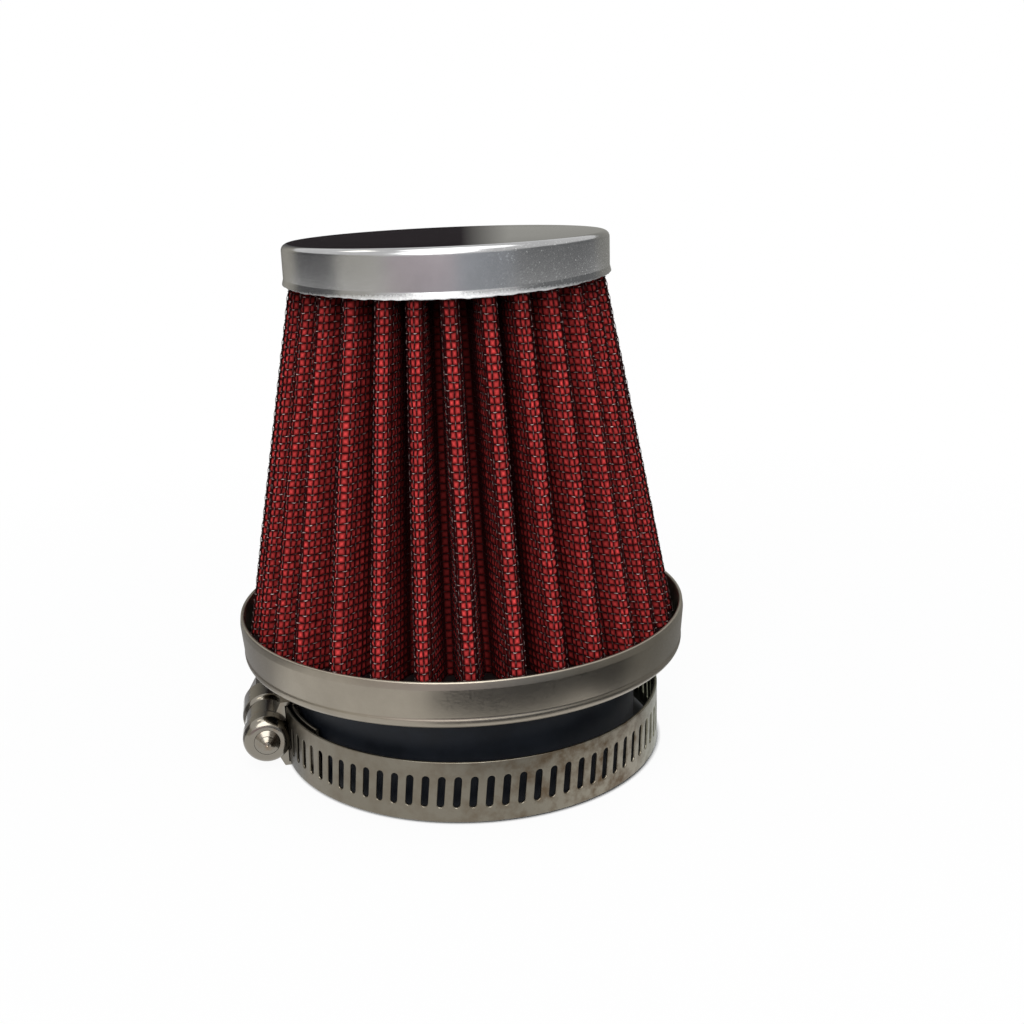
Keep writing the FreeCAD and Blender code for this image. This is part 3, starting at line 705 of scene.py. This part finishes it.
class FILTER_OT_media(bpy.types.Operator):
    """Folded gauze with a pillow in every mesh of the wire screen, and the woven wires over it"""

    bl_idname = "filter.media"
    bl_label = "Pleated medium"

    def execute(self, context):
        settings = context.scene.filter_media
        grid, outward = woven_grid(settings)
        proud = settings.weave_height + settings.wire_radius
        screen = grid - outward * proud
        self.add_gauze(settings, screen, outward)
        self.add_wires(settings, screen, outward)
        return {"FINISHED"}

    def add_gauze(self, settings, screen, outward):
        rows, columns = screen.shape[0] - 1, screen.shape[1]
        knots = screen - outward * settings.wire_radius * KNOT_DEPTH
        right = np.roll(knots, -1, axis=1)
        right_out = np.roll(outward, -1, axis=1)
        middles = (knots[:-1] + knots[1:] + right[:-1] + right[1:]) / 4
        lift = (outward[:-1] + outward[1:] + right_out[:-1] + right_out[1:]) / 4
        chance = np.random.default_rng(SWELL_SEED)
        swell = settings.pillow * chance.uniform(*SWELL_RANGE, (rows, columns, 1))
        middles = middles + lift * swell
        back = knots - outward * (settings.sheet - 2 * settings.wire_radius)
        points = np.vstack((knots.reshape(-1, 3), back.reshape(-1, 3), middles.reshape(-1, 3)))
        behind = knots.shape[0] * columns
        first_middle = 2 * behind
        faces = []
        for row in range(rows):
            for column in range(columns):
                after = (column + 1) % columns
                low, low_next = row * columns + column, row * columns + after
                high, high_next = low + columns, low_next + columns
                middle = first_middle + row * columns + column
                faces += [(low, low_next, middle), (low_next, high_next, middle),
                          (high_next, high, middle), (high, low, middle)]
                faces.append((behind + low, behind + high, behind + high_next, behind + low_next))
        top = rows * columns
        for column in range(columns):
            after = (column + 1) % columns
            faces.append((column, behind + column, behind + after, after))
            faces.append((top + after, behind + top + after, behind + top + column, top + column))
        piece = add_mesh("red_gauze", points, faces)
        add_attribute(piece, "fold_depth", fold_depths(points))
        add_attribute(piece, "bead", np.arange(len(points)) >= first_middle)
        add_attribute(piece, "tone", chance.uniform(0, 1, len(points)))
        finish_piece(piece, gauze_material(settings), FILTER_BODY, "red_media", "pleated_media")

    def add_wires(self, settings, screen, outward):
        tree = wire_tree()
        rows, columns = screen.shape[0], screen.shape[1]
        chequer = 1 - 2 * (np.add.outer(np.arange(rows), np.arange(columns)) % 2)
        wave = outward * (chequer * settings.weave_height)[:, :, None]
        index = np.arange(rows * columns).reshape(rows, columns)
        upright = np.stack((index[:-1].ravel(), index[1:].ravel()), axis=1)
        level = np.stack((index.ravel(), np.roll(index, -1, axis=1).ravel()), axis=1)
        for name, side, edges, bare in (("upright_wires", 1, upright, 0.2), ("cross_wires", -1, level, 0.9)):
            points = (screen + side * wave).reshape(-1, 3)
            piece = add_mesh(name, points, edges=edges)
            add_attribute(piece, "over", (1 + side * chequer) / 2)
            add_attribute(piece, "fold_depth", fold_depths(points))
            material = wire_material(settings, name, bare)
            run_tree(piece, tree, wire_radius=settings.wire_radius, sides=WIRE_SIDES, material=material)
            finish_piece(piece, material, FILTER_BODY, "red_media")


class FILTER_OT_metal_ends(bpy.types.Operator):
    """Pressed cap with its burred lip, and the pan round the foot of the pleats"""

    bl_idname = "filter.metal_ends"
    bl_label = "Cap and pan"

    def execute(self, context):
        settings = context.scene.filter_metal
        self.add_cap(settings)
        self.add_pan(settings)
        return {"FINISHED"}

    def add_cap(self, settings):
        sheet = settings.cap_sheet
        outside = CAP_LIP_OUT - settings.cap_flare
        inside = outside - sheet
        lip_top = CAP_LIP + settings.cap_lip
        edge = sheet * 0.4
        outline = rounded_outline((
            (0, CAP_TOP, 0),
            (outside * 0.5, CAP_TOP, 0),
            (outside, CAP_TOP, settings.cap_corner),
            (outside, lip_top, settings.cap_lip * 0.6),
            (CAP_LIP_OUT, CAP_LIP, edge),
            (CAP_LIP_OUT - sheet, CAP_LIP, edge),
            (inside, lip_top, settings.cap_lip * 0.6),
            (inside, CAP_TOP - sheet, settings.cap_corner - sheet),
            (0, CAP_TOP - sheet, 0),
        ), BEND_STEPS)
        points, faces = turned(outline[::-1], ROUND_SEGMENTS)
        points = np.array(points)
        angle = np.arctan2(points[:, 1], points[:, 0])

        # the cut lip is burred by waves, each with its count, phase and weight
        near_lip = np.clip((lip_top - points[:, 2]) / settings.cap_lip, 0, 1)
        waves = ((3, 0.4, 0.5), (11, 1.3, 0.3), (29, 2.2, 0.35), (53, 0.7, 0.35), (97, 1.9, 0.3))
        rough = sum(np.sin(angle * count + phase) * weight for count, phase, weight in waves)
        points[:, 2] += near_lip * settings.burr * np.clip(rough + 1.2, 0, 2.4)

        # the wall is drawn up at both sides, and down a little in front and behind
        side = 1.6 * np.cos(angle) ** 2 - 0.6
        down_wall = np.clip((CAP_TOP - points[:, 2]) / (CAP_TOP - CAP_LIP), 0, 1)
        points[:, 2] += down_wall * settings.lip_rise * side
        piece = add_mesh("pressed_cap", points, faces)
        finish_piece(piece, cap_material(settings), FILTER_BODY, "cap_metal", "top_cap")

    def add_pan(self, settings):
        sheet = PAN_RIM_OUT - PAN_RIM_IN
        edge = sheet * 0.42
        line = PAN_FOOT + settings.pan_corner
        band = PAN_RIM - settings.rim_band
        foot_out = PAN_RIM_OUT - settings.pan_draft
        outline = rounded_outline((
            (PAN_HOLE, PAN_FOOT, 0),
            (foot_out, PAN_FOOT, settings.pan_corner * 0.8),
            (foot_out, line, 0),
            (foot_out - settings.bead, line + settings.bead, 0),
            (foot_out - settings.bead * 0.3, line + settings.bead * 3, 0),
            (PAN_RIM_OUT, band, settings.rim_band * 0.6),
            (PAN_RIM_OUT - settings.rim_lean, PAN_RIM, edge),
            (PAN_RIM_IN - settings.rim_lean, PAN_RIM, edge),
            (PAN_RIM_IN, band, settings.rim_band * 0.6),
            (PAN_RIM_IN - settings.pan_draft, PAN_FOOT + sheet, settings.pan_corner - sheet),
            (PAN_HOLE, PAN_FOOT + sheet, 0),
        ), BEND_STEPS)
        piece = add_mesh("pressed_pan", *turned(outline, ROUND_SEGMENTS))
        finish_piece(piece, pan_material(settings), FILTER_BODY, "pan_metal", "base_pan")


def cap_material(settings):
    """Polished steel: a mirror top, a finely brushed wall with scuffs, and a rough lip painted pale as a
    highlight.
    """
    material, tree, shader = new_material("polished_cap", metallic=1.0)
    colour = Vector(settings.cap_colour)
    scuff_and_lip_highlight = Vector(settings.scuff_and_lip_highlight_colour)
    where = position(tree)
    normal = tree.nodes.new("ShaderNodeNewGeometry").outputs["Normal"]
    upward = add_node(tree, "ShaderNodeSeparateXYZ", {"Vector": normal}).outputs["Z"]

    # scuffs on the right half and the far left of the wall
    cloud = blotches(tree, 70.0, 0.35, 0.7)
    tone = mix_colour(tree, cloud["Mask"], colour * 0.85, colour)
    specks = blotches(tree, 2600.0, 0.57, 0.70)
    worn_right = map_value(tree, where["X"], 0.05, 0.8, 3 * MM, 16 * MM)
    worn_left = map_value(tree, where["X"], 0.6, 0.0, -31 * MM, -14 * MM)
    worn_side = combined(tree, "MAXIMUM", worn_right, worn_left)
    on_wall = map_value(tree, upward, 1.0, 0.1, 0.4, 0.9)
    scuffs = multiplied(tree, multiplied(tree, specks["Mask"], worn_side), on_wall)
    wall = mix_colour(tree, scuffs, tone, scuff_and_lip_highlight)

    # the lip is rough and painted pale as a highlight, with a ragged border
    ragged = map_value(tree, cloud["Grain"], -0.2 * MM, 0.2 * MM, 0.3, 0.7)
    level = combined(tree, "ADD", where["Z"], ragged)
    lip = map_value(tree, level, 1.0, 0.0, CAP_LIP - 0.2 * MM, CAP_LIP + 0.8 * MM)
    polish = map_value(tree, upward, 0.25, 0.07, 0.15, 0.95)
    feed(tree, shader,
         Base_Color=mix_colour(tree, lip, wall, scuff_and_lip_highlight),
         Roughness=combined(tree, "ADD", polish, map_value(tree, lip, 0.0, 0.25)),
         Metallic=map_value(tree, lip, 1.0, 0.3))
    place = tree.nodes.new("ShaderNodeTexCoord").outputs["Object"]
    stretch = add_node(tree, "ShaderNodeMapping", {"Vector": place}, Scale=(350.0, 350.0, 4200.0))
    brush = add_node(tree, "ShaderNodeTexNoise", {"Vector": stretch.outputs["Vector"]}, Scale=1.0, Detail=4.0)
    add_bump(tree, shader, brush.outputs["Fac"], 0.05, GRAIN_DEPTH)
    return material


def pan_material(settings):
    """Satin steel with faint clouds and a fine grain."""
    colour = Vector(settings.pan_colour)
    return worn_metal("satin_pan", colour, colour * 0.86, 0.33, 90.0, 0.4, 0.7, bump=0.05)


class FILTER_OT_rubber(bpy.types.Operator):
    """Rubber neck and the sealant inside the metal ends"""

    bl_idname = "filter.rubber"
    bl_label = "Neck and sealant"

    def execute(self, context):
        settings = context.scene.filter_rubber
        dress_solid("rubber_neck", rubber_material("black_rubber", settings.neck_colour, 0.42, 0.22))
        sealant = rubber_material("black_sealant", settings.seal_colour, 0.7, 0.04)
        dress_solid("base_seal", sealant)
        dress_solid("cap_seal", sealant)
        grey = Vector(settings.cage_colour)
        dress_solid("inner_cage", worn_metal("cage_steel", grey, grey * 0.7, 0.4, 200.0, 0.45, 0.7))
        return {"FINISHED"}


# Clamp

def clamp_matrix(settings):
    """From the clamp's own frame, with its housing on +X, to the filter's frame."""
    turn = Matrix.Rotation(CLAMP_TURN, 4, "Z")
    centre = SCREW_POINT - turn @ Vector((settings.screw_offset, 0, 0))
    return Matrix.Translation((centre.x, centre.y, 0)) @ turn


def strap_cell(settings):
    """One pitch of the strap with its slanted slot, standing on the +X side."""
    radius = settings.strap_inside + settings.strap_sheet
    half_pitch = settings.slot_pitch / 2
    edge = settings.edge
    land = edge * 1.7
    half_high = (BAND_HIGH - BAND_LOW) / 2
    half_slot = settings.slot_width / 2
    straight = settings.slot_length / 2 - half_slot
    steps = 8

    def slot_loop(grow):
        """Round the slot, with its ends as half circles, leaning."""
        loop = []
        for end in (1, -1):
            for step in range(steps + 1):
                angle = math.pi * step / steps
                across = (half_slot + grow) * math.cos(angle) * end
                along = end * straight + (half_slot + grow) * math.sin(angle) * end
                loop.append((across + along * math.tan(settings.slot_lean), along))
        return loop

    def rim_loop(lower):
        """Round the cell's own border, with a corner at every quarter of a half circle."""
        loop = []
        top = half_high - lower
        for end in (1, -1):
            for step in range(steps + 1):
                share = step / steps * 4
                if share <= 1:
                    spot = (half_pitch, straight + (top - straight) * share)
                elif share <= 3:
                    spot = (half_pitch * (2 - share), top)
                else:
                    spot = (-half_pitch, straight + (top - straight) * (4 - share))
                loop.append((spot[0] * end, spot[1] * end))
        return loop

    inside = settings.strap_inside
    rings = (
        (rim_loop(0), inside + edge), (rim_loop(edge), inside), (slot_loop(edge), inside),
        (slot_loop(0), inside + edge), (slot_loop(0), radius - edge), (slot_loop(edge), radius),
        (slot_loop(land), radius), (rim_loop(land), radius), (rim_loop(edge), radius),
        (rim_loop(0), radius - edge))
    points = []
    for loop, distance in rings:
        for across, along in loop:
            angle = across / radius
            points.append((distance * math.cos(angle), distance * math.sin(angle), along))
    count = 2 * (steps + 1)
    along_top = range(steps // 4, steps - steps // 4)
    top_steps = [step for step in range(count) if step % (steps + 1) in along_top]
    faces = []
    for ring in range(len(rings)):
        after_ring = (ring + 1) % len(rings)
        on_border = ring in (0, len(rings) - 3, len(rings) - 2, len(rings) - 1)
        for step in (top_steps if on_border else range(count)):
            after = (step + 1) % count
            faces.append((ring * count + step, after_ring * count + step, after_ring * count + after,
                          ring * count + after))
    middle = (BAND_LOW + BAND_HIGH) / 2
    points = [(x, y, z + middle) for x, y, z in points]
    return points, faces


def strap_runs(settings):
    """The plain stretches of the strap as (centre, inside radius, first angle, last angle)."""
    lap = settings.strap_sheet + settings.lap_clearance
    ease = 2 * math.pi - settings.ease
    step_in = lap / (1 - math.cos(settings.ease - settings.tail))
    centre = Vector((math.cos(ease), math.sin(ease), 0)) * step_in
    step = settings.slot_pitch / (settings.strap_inside + settings.strap_sheet)
    first_slot = step - settings.tail
    last_edge = first_slot + (settings.slots - 0.5) * step
    here = Vector((0, 0, 0))
    return (
        (here, settings.strap_inside, -settings.tail, first_slot - step / 2),
        (here, settings.strap_inside, last_edge, ease),
        (centre, settings.strap_inside - step_in, ease, 2 * math.pi + settings.tongue),
    )


def plain_strap(settings):
    """Points and faces of the strap's stretches without slots."""
    edge = settings.edge
    points = []
    faces = []
    for centre, inside, first, last in strap_runs(settings):
        outside = inside + settings.strap_sheet
        section = rounded_outline((
            (inside, BAND_LOW, edge), (outside, BAND_LOW, edge), (outside, BAND_HIGH, edge),
            (inside, BAND_HIGH, edge)), steps=1)
        count = len(section)
        steps = max(1, math.ceil((last - first) / math.radians(3)))
        base = len(points)
        for step in range(steps + 1):
            angle = first + (last - first) * step / steps
            for radius, height in section:
                x = centre.x + radius * math.cos(angle)
                y = centre.y + radius * math.sin(angle)
                points.append((x, y, height))
        for step in range(steps):
            row = base + step * count
            for i in range(count):
                j = (i + 1) % count
                faces.append((row + i, row + count + i, row + count + j, row + j)[::-1])
        faces.append(list(range(base, base + count))[::-1])
        faces.append(list(range(base + steps * count, base + (steps + 1) * count)))
    return points, faces


class FILTER_OT_clamp(bpy.types.Operator):
    """Slotted strap, its housing and the worm screw with its thread"""

    bl_idname = "filter.clamp"
    bl_label = "Clamp"

    def execute(self, context):
        settings = context.scene.filter_clamp
        steel = strap_material(settings)
        place = clamp_matrix(settings)
        step = settings.slot_pitch / (settings.strap_inside + settings.strap_sheet)
        strap = add_mesh("slotted_strap", *strap_cell(settings))
        run_tree(strap, ring_tree(), count=settings.slots, first_angle=step - settings.tail, angle_step=step,
                 material=steel)
        strap.data.transform(place)
        finish_piece(strap, steel, FILTER_BODY, "strap_steel", "clamp_band")
        plain = add_mesh("plain_strap", *plain_strap(settings), smooth=False)
        plain.data.transform(place)
        finish_piece(plain, steel, FILTER_BODY, "strap_steel")
        colour = Vector(settings.housing_colour)
        stain = Vector(settings.stain_colour) * 2
        housing = worn_metal("polished_housing", colour, stain, 0.15, 160.0, 0.55, 0.8, bump=0.004)
        screw = worn_metal("turned_screw", colour, stain, 0.2, 300.0, 0.5, 0.8, bump=0.004)
        dress_solid("clamp_housing", housing)
        dress_solid("clamp_screw", screw)
        self.add_thread(settings, screw)
        return {"FINISHED"}

    def add_thread(self, settings, material):
        thread = add_mesh("worm_thread", [(0, 0, 0)])
        run_tree(thread, helix_tree(), core_radius=settings.thread_core,
                 turns=settings.thread_length / settings.thread_pitch, length=settings.thread_length,
                 ridge_radius=settings.thread_ridge, material=material)
        lay = Vector((0, 0, 1)).rotation_difference(SCREW_AXIS).to_matrix().to_4x4()
        start = SCREW_POINT - SCREW_AXIS * settings.thread_length / 2
        thread.data.transform(Matrix.Translation(start) @ lay)
        finish_piece(thread, material, SCREW_BODY, "screw_steel")


def strap_material(settings):
    """Tarnished steel: paler and stained brown to the right, then a green film, and painted shade by the
    screw.
    """
    material, tree, shader = new_material("tarnished_strap", metallic=1.0)
    colour = Vector(settings.strap_colour)
    across = position(tree)["X"]
    cloud = blotches(tree, 260.0, 0.42, 0.68)
    steel = fade_colour(tree, across, 10 * MM, 26 * MM, colour, colour * 1.35)
    stained_side = map_value(tree, across, 0.3, 1.0, -8 * MM, 20 * MM)
    stains = multiplied(tree, cloud["Mask"], stained_side)
    brown = mix_colour(tree, stains, steel, settings.stain_colour)
    film = map_value(tree, across, 0.0, 0.5, 34 * MM, 42 * MM)
    filmed = mix_colour(tree, film, brown, settings.film_colour)
    # painted shade: the strap goes dark near the screw's housing
    painted_shadow = map_value(tree, distance_from(tree, SCREW_POINT), 0.85, 0.0, 14 * MM, 21 * MM)
    feed(tree, shader,
         Base_Color=mix_colour(tree, painted_shadow, filmed, colour * 0.12),
         Roughness=map_value(tree, cloud["Grain"], 0.3, 0.42, 0.3, 0.7))
    add_bump(tree, shader, cloud["Grain"], 0.06, GRAIN_DEPTH)
    return material


# Stage

BLACK = (0.0, 0.0, 0.0, 1.0)
WHITE = (1.0, 1.0, 1.0, 1.0)


def seen_directly(tree):
    """1 where a surface is seen by the camera, in a mirror or through glass, 0 where it only gives light."""
    path = tree.nodes.new("ShaderNodeLightPath").outputs
    mirrored = combined(tree, "MAXIMUM", path["Is Camera Ray"], path["Is Glossy Ray"])
    return combined(tree, "MAXIMUM", mirrored, path["Is Transmission Ray"])


def blend_shaders(tree, share, first, second, end):
    """Join two shaders by a share at the tree's end."""
    blend = add_node(tree, "ShaderNodeMixShader", {"Fac": share, 1: first, 2: second})
    tree.links.new(blend.outputs["Shader"], tree.nodes[end].inputs["Surface"])


class FILTER_OT_stage(bpy.types.Operator):
    """Pale floor and backdrop, soft studio light and the camera"""

    bl_idname = "filter.stage"
    bl_label = "Stage"

    def execute(self, context):
        settings = context.scene.filter_stage
        self.add_floor(settings)
        self.add_lights(settings)
        self.add_camera(context, settings)
        context.scene.view_settings.view_transform = "Standard"
        return {"FINISHED"}

    def add_floor(self, settings):
        half = 3.0
        corners = [(-half, -half, 0), (half, -half, 0), (half, half, 0), (-half, half, 0)]
        floor = add_mesh("floor", corners, [(0, 1, 2, 3)], smooth=False)
        material, tree, shader = new_material("painted_lit_floor", roughness=0.9, specular=0.1)
        glow = add_node(tree, "ShaderNodeEmission", Color=WHITE, Strength=1.0)

        # painted shadow inside the strap's loop and white outside, set back a little where the strap hides
        # the edge
        clamp = bpy.context.scene.filter_clamp
        loop = clamp.strap_inside + clamp.strap_sheet
        set_back = Vector((0.3, 1.8, 0)) * MM
        reach = distance_from(tree, clamp_matrix(clamp).translation + set_back)
        pale = Vector(settings.floor_colour)
        ground = fade_colour(tree, reach, loop - 0.3 * MM, loop + 0.2 * MM, pale * 0.15, pale)
        feed(tree, shader, Base_Color=ground)
        outside = map_value(tree, reach, 0.0, 1.0, loop + 0.1 * MM, loop + 0.9 * MM)
        white = map_value(tree, reach, settings.floor_glow, 1.0, 100 * MM, 300 * MM)
        share = multiplied(tree, multiplied(tree, seen_directly(tree), outside), white)
        blend_shaders(tree, share, shader.outputs["BSDF"], glow.outputs["Emission"], "Material Output")
        floor.data.materials.append(material)

    def add_card(self, name, corners, colour, far_colour=None, fade=None):
        """A board that only shows in reflections, of one colour or fading to another between two x places."""
        card = add_mesh(name, corners, [range(len(corners))], smooth=False)
        material, tree, shader = new_material(name, roughness=1.0, specular=0.0)
        set_inputs(shader, Base_Color=BLACK, Emission_Color=(*colour, 1.0), Emission_Strength=1.0)
        if fade:
            mixed = fade_colour(tree, position(tree)["X"], *fade, colour, far_colour)
            feed(tree, shader, Emission_Color=mixed)
        card.data.materials.append(material)
        card.visible_camera = False
        card.visible_diffuse = False
        card.visible_shadow = False

    def add_lights(self, settings):
        world = bpy.data.worlds.new("studio")
        world.use_nodes = True
        tree = world.node_tree
        room = tree.nodes["Background"]
        set_inputs(room, Color=(*settings.room_colour, 1.0), Strength=settings.room_light)
        white = add_node(tree, "ShaderNodeBackground", Color=WHITE, Strength=1.0)
        blend_shaders(tree, seen_directly(tree), room.outputs["Background"], white.outputs["Background"],
                      "World Output")
        bpy.context.scene.world = world
        aim = Vector((0, 0, 0.06))
        for name, place, power in (
                ("key", Vector((-0.1, -0.9, 0.8)), settings.key_power),
                ("top", Vector((0.1, -0.25, 1.1)), settings.top_power)):
            lamp = bpy.data.lights.new(name, "AREA")
            lamp.shape = "DISK"
            lamp.size = 1.0
            lamp.energy = power
            item = bpy.data.objects.new(name, lamp)
            item.location = place
            item.rotation_euler = (aim - place).to_track_quat("-Z", "Y").to_euler()
            bpy.context.scene.collection.objects.link(item)
        self.add_boards()

    def add_boards(self):
        """Boards and cloths round the stage that give the polished metal something to mirror."""
        def facing(name, left, right, depth, height, *colours):
            """A board across the stage."""
            corners = [(left, depth, 0), (right, depth, 0), (right, depth, height), (left, depth, height)]
            self.add_card(name, corners, *colours)

        def sideways(name, x, front, back, colour):
            """A board along the stage."""
            self.add_card(name, [(x, front, 0), (x, back, 0), (x, back, 0.5), (x, front, 0.5)], colour)

        def laid(name, height, outline, *colours):
            """A cloth or board that lies flat."""
            self.add_card(name, [(x, y, height) for x, y in outline], *colours)

        def oblong(left, right, front, back):
            """Corners of a rectangle."""
            return [(left, front), (right, front), (right, back), (left, back)]

        facing("board_behind", -0.13, 1.0, 0.7, 0.45,
               (0.028, 0.024, 0.026), (0.33, 0.325, 0.30), (0.012, 0.048))
        facing("board_behind_left", -1.0, -0.13, 0.7, 0.45,
               (0.44, 0.42, 0.37), (0.09, 0.09, 0.093), (-0.45, -0.15))
        sideways("dark_board_left", -1.0, -0.2, 0.7, (0.12, 0.12, 0.125))
        sideways("pale_board_left", -1.0, -1.0, -0.2, (0.62, 0.60, 0.54))
        sideways("board_right", 1.0, -1.0, 0.7, (0.22, 0.225, 0.23))
        laid("bright_card", 0.6, oblong(-0.42, -0.24, -0.02, 0.16), (3.5, 3.4, 3.2))
        facing("grey_board_left", -3.0, -0.85, -1.0, 0.25, (0.62, 0.62, 0.58))
        facing("pale_board_front", -0.85, 0.1, -1.0, 0.25, (0.62, 0.51, 0.56))
        facing("blue_board_right", 0.1, 3.0, -1.0, 0.25, (0.36, 0.39, 0.44))

        ground = 0.5 * MM
        near = [(-0.02, -0.17), (0.13, -0.17), (0.13, -0.03), (0.056, -0.03), (0.052, -0.055),
                (-0.02, -0.076)]
        laid("grey_cloth_near", ground, near, (0.08, 0.084, 0.094), (0.035, 0.037, 0.042), (0.0, 0.08))
        row = ((-0.50, (0.80, 0.76, 0.66)), (-0.30, (0.75, 0.70, 0.60)), (-0.20, (0.45, 0.34, 0.39)),
               (0.0, (0.56, 0.54, 0.64)), (0.16, (0.34, 0.39, 0.46)), (0.30, (0.19, 0.20, 0.23)),
               (0.50, (0.26, 0.26, 0.24)))
        for i, ((left, colour), (right, far_colour)) in enumerate(zip(row, row[1:])):
            outline = oblong(left, right, -0.6, -0.17)
            laid(f"cloth_front_{i}", ground, outline, colour, far_colour, (left, right))
        beside = [(0.13, -0.17), (0.6, -0.17), (0.6, 0.5), (0.06, 0.5), (0.06, -0.03), (0.13, -0.03)]
        laid("cloth_right", ground, beside, (0.30, 0.30, 0.29))
        laid("cloth_left_near", ground, oblong(-0.17, -0.06, -0.01, 0.5), (0.40, 0.40, 0.41))
        laid("cloth_left", ground, oblong(-0.6, -0.17, -0.05, 0.5),
             (0.45, 0.44, 0.42), (0.08, 0.08, 0.085), (-0.42, -0.27))

    def add_camera(self, context, settings):
        pitch = settings.camera_pitch
        roll = settings.camera_roll
        forward = Vector((0, math.cos(pitch), -math.sin(pitch)))
        right = Vector((1, 0, 0))
        up = right.cross(forward)
        tilted_right = right * math.cos(roll) + up * math.sin(roll)
        tilted_up = up * math.cos(roll) - right * math.sin(roll)
        turn = Matrix((tilted_right, tilted_up, -forward)).transposed()
        camera = bpy.data.cameras.new("camera")
        camera.lens = settings.lens
        camera.sensor_width = 36.0
        camera.shift_x = settings.shift
        camera.clip_start = 0.01
        item = bpy.data.objects.new("camera", camera)
        place = Matrix.Translation((0, -settings.camera_back, settings.camera_height))
        item.matrix_world = place @ turn.to_4x4()
        context.scene.collection.objects.link(item)
        context.scene.camera = item


class FILTER_PT_panel(bpy.types.Panel):
    """Buttons for each group of pieces"""

    bl_label = "Air filter"
    bl_idname = "FILTER_PT_panel"
    bl_space_type = "VIEW_3D"
    bl_region_type = "UI"
    bl_category = "Air filter"

    def draw(self, context):
        for operator in OPERATORS:
            self.layout.operator(operator.bl_idname)


OPERATORS = (FILTER_OT_media, FILTER_OT_metal_ends, FILTER_OT_rubber, FILTER_OT_clamp, FILTER_OT_stage)
SETTINGS = {
    "filter_media": MediaSettings,
    "filter_metal": MetalSettings,
    "filter_clamp": ClampSettings,
    "filter_rubber": RubberSettings,
    "filter_stage": StageSettings,
}


def register():
    for group in SETTINGS.values():
        bpy.utils.register_class(group)
    for operator in OPERATORS:
        bpy.utils.register_class(operator)
    bpy.utils.register_class(FILTER_PT_panel)
    for name, group in SETTINGS.items():
        setattr(bpy.types.Scene, name, PointerProperty(type=group))


def unregister():
    for name in SETTINGS:
        delattr(bpy.types.Scene, name)
    bpy.utils.unregister_class(FILTER_PT_panel)
    for operator in reversed(OPERATORS):
        bpy.utils.unregister_class(operator)
    for group in SETTINGS.values():
        bpy.utils.unregister_class(group)


def main():
    register()
    bpy.ops.filter.media()
    bpy.ops.filter.metal_ends()
    bpy.ops.filter.rubber()
    bpy.ops.filter.clamp()
    bpy.ops.filter.stage()


if __name__ == "__main__":
    main()
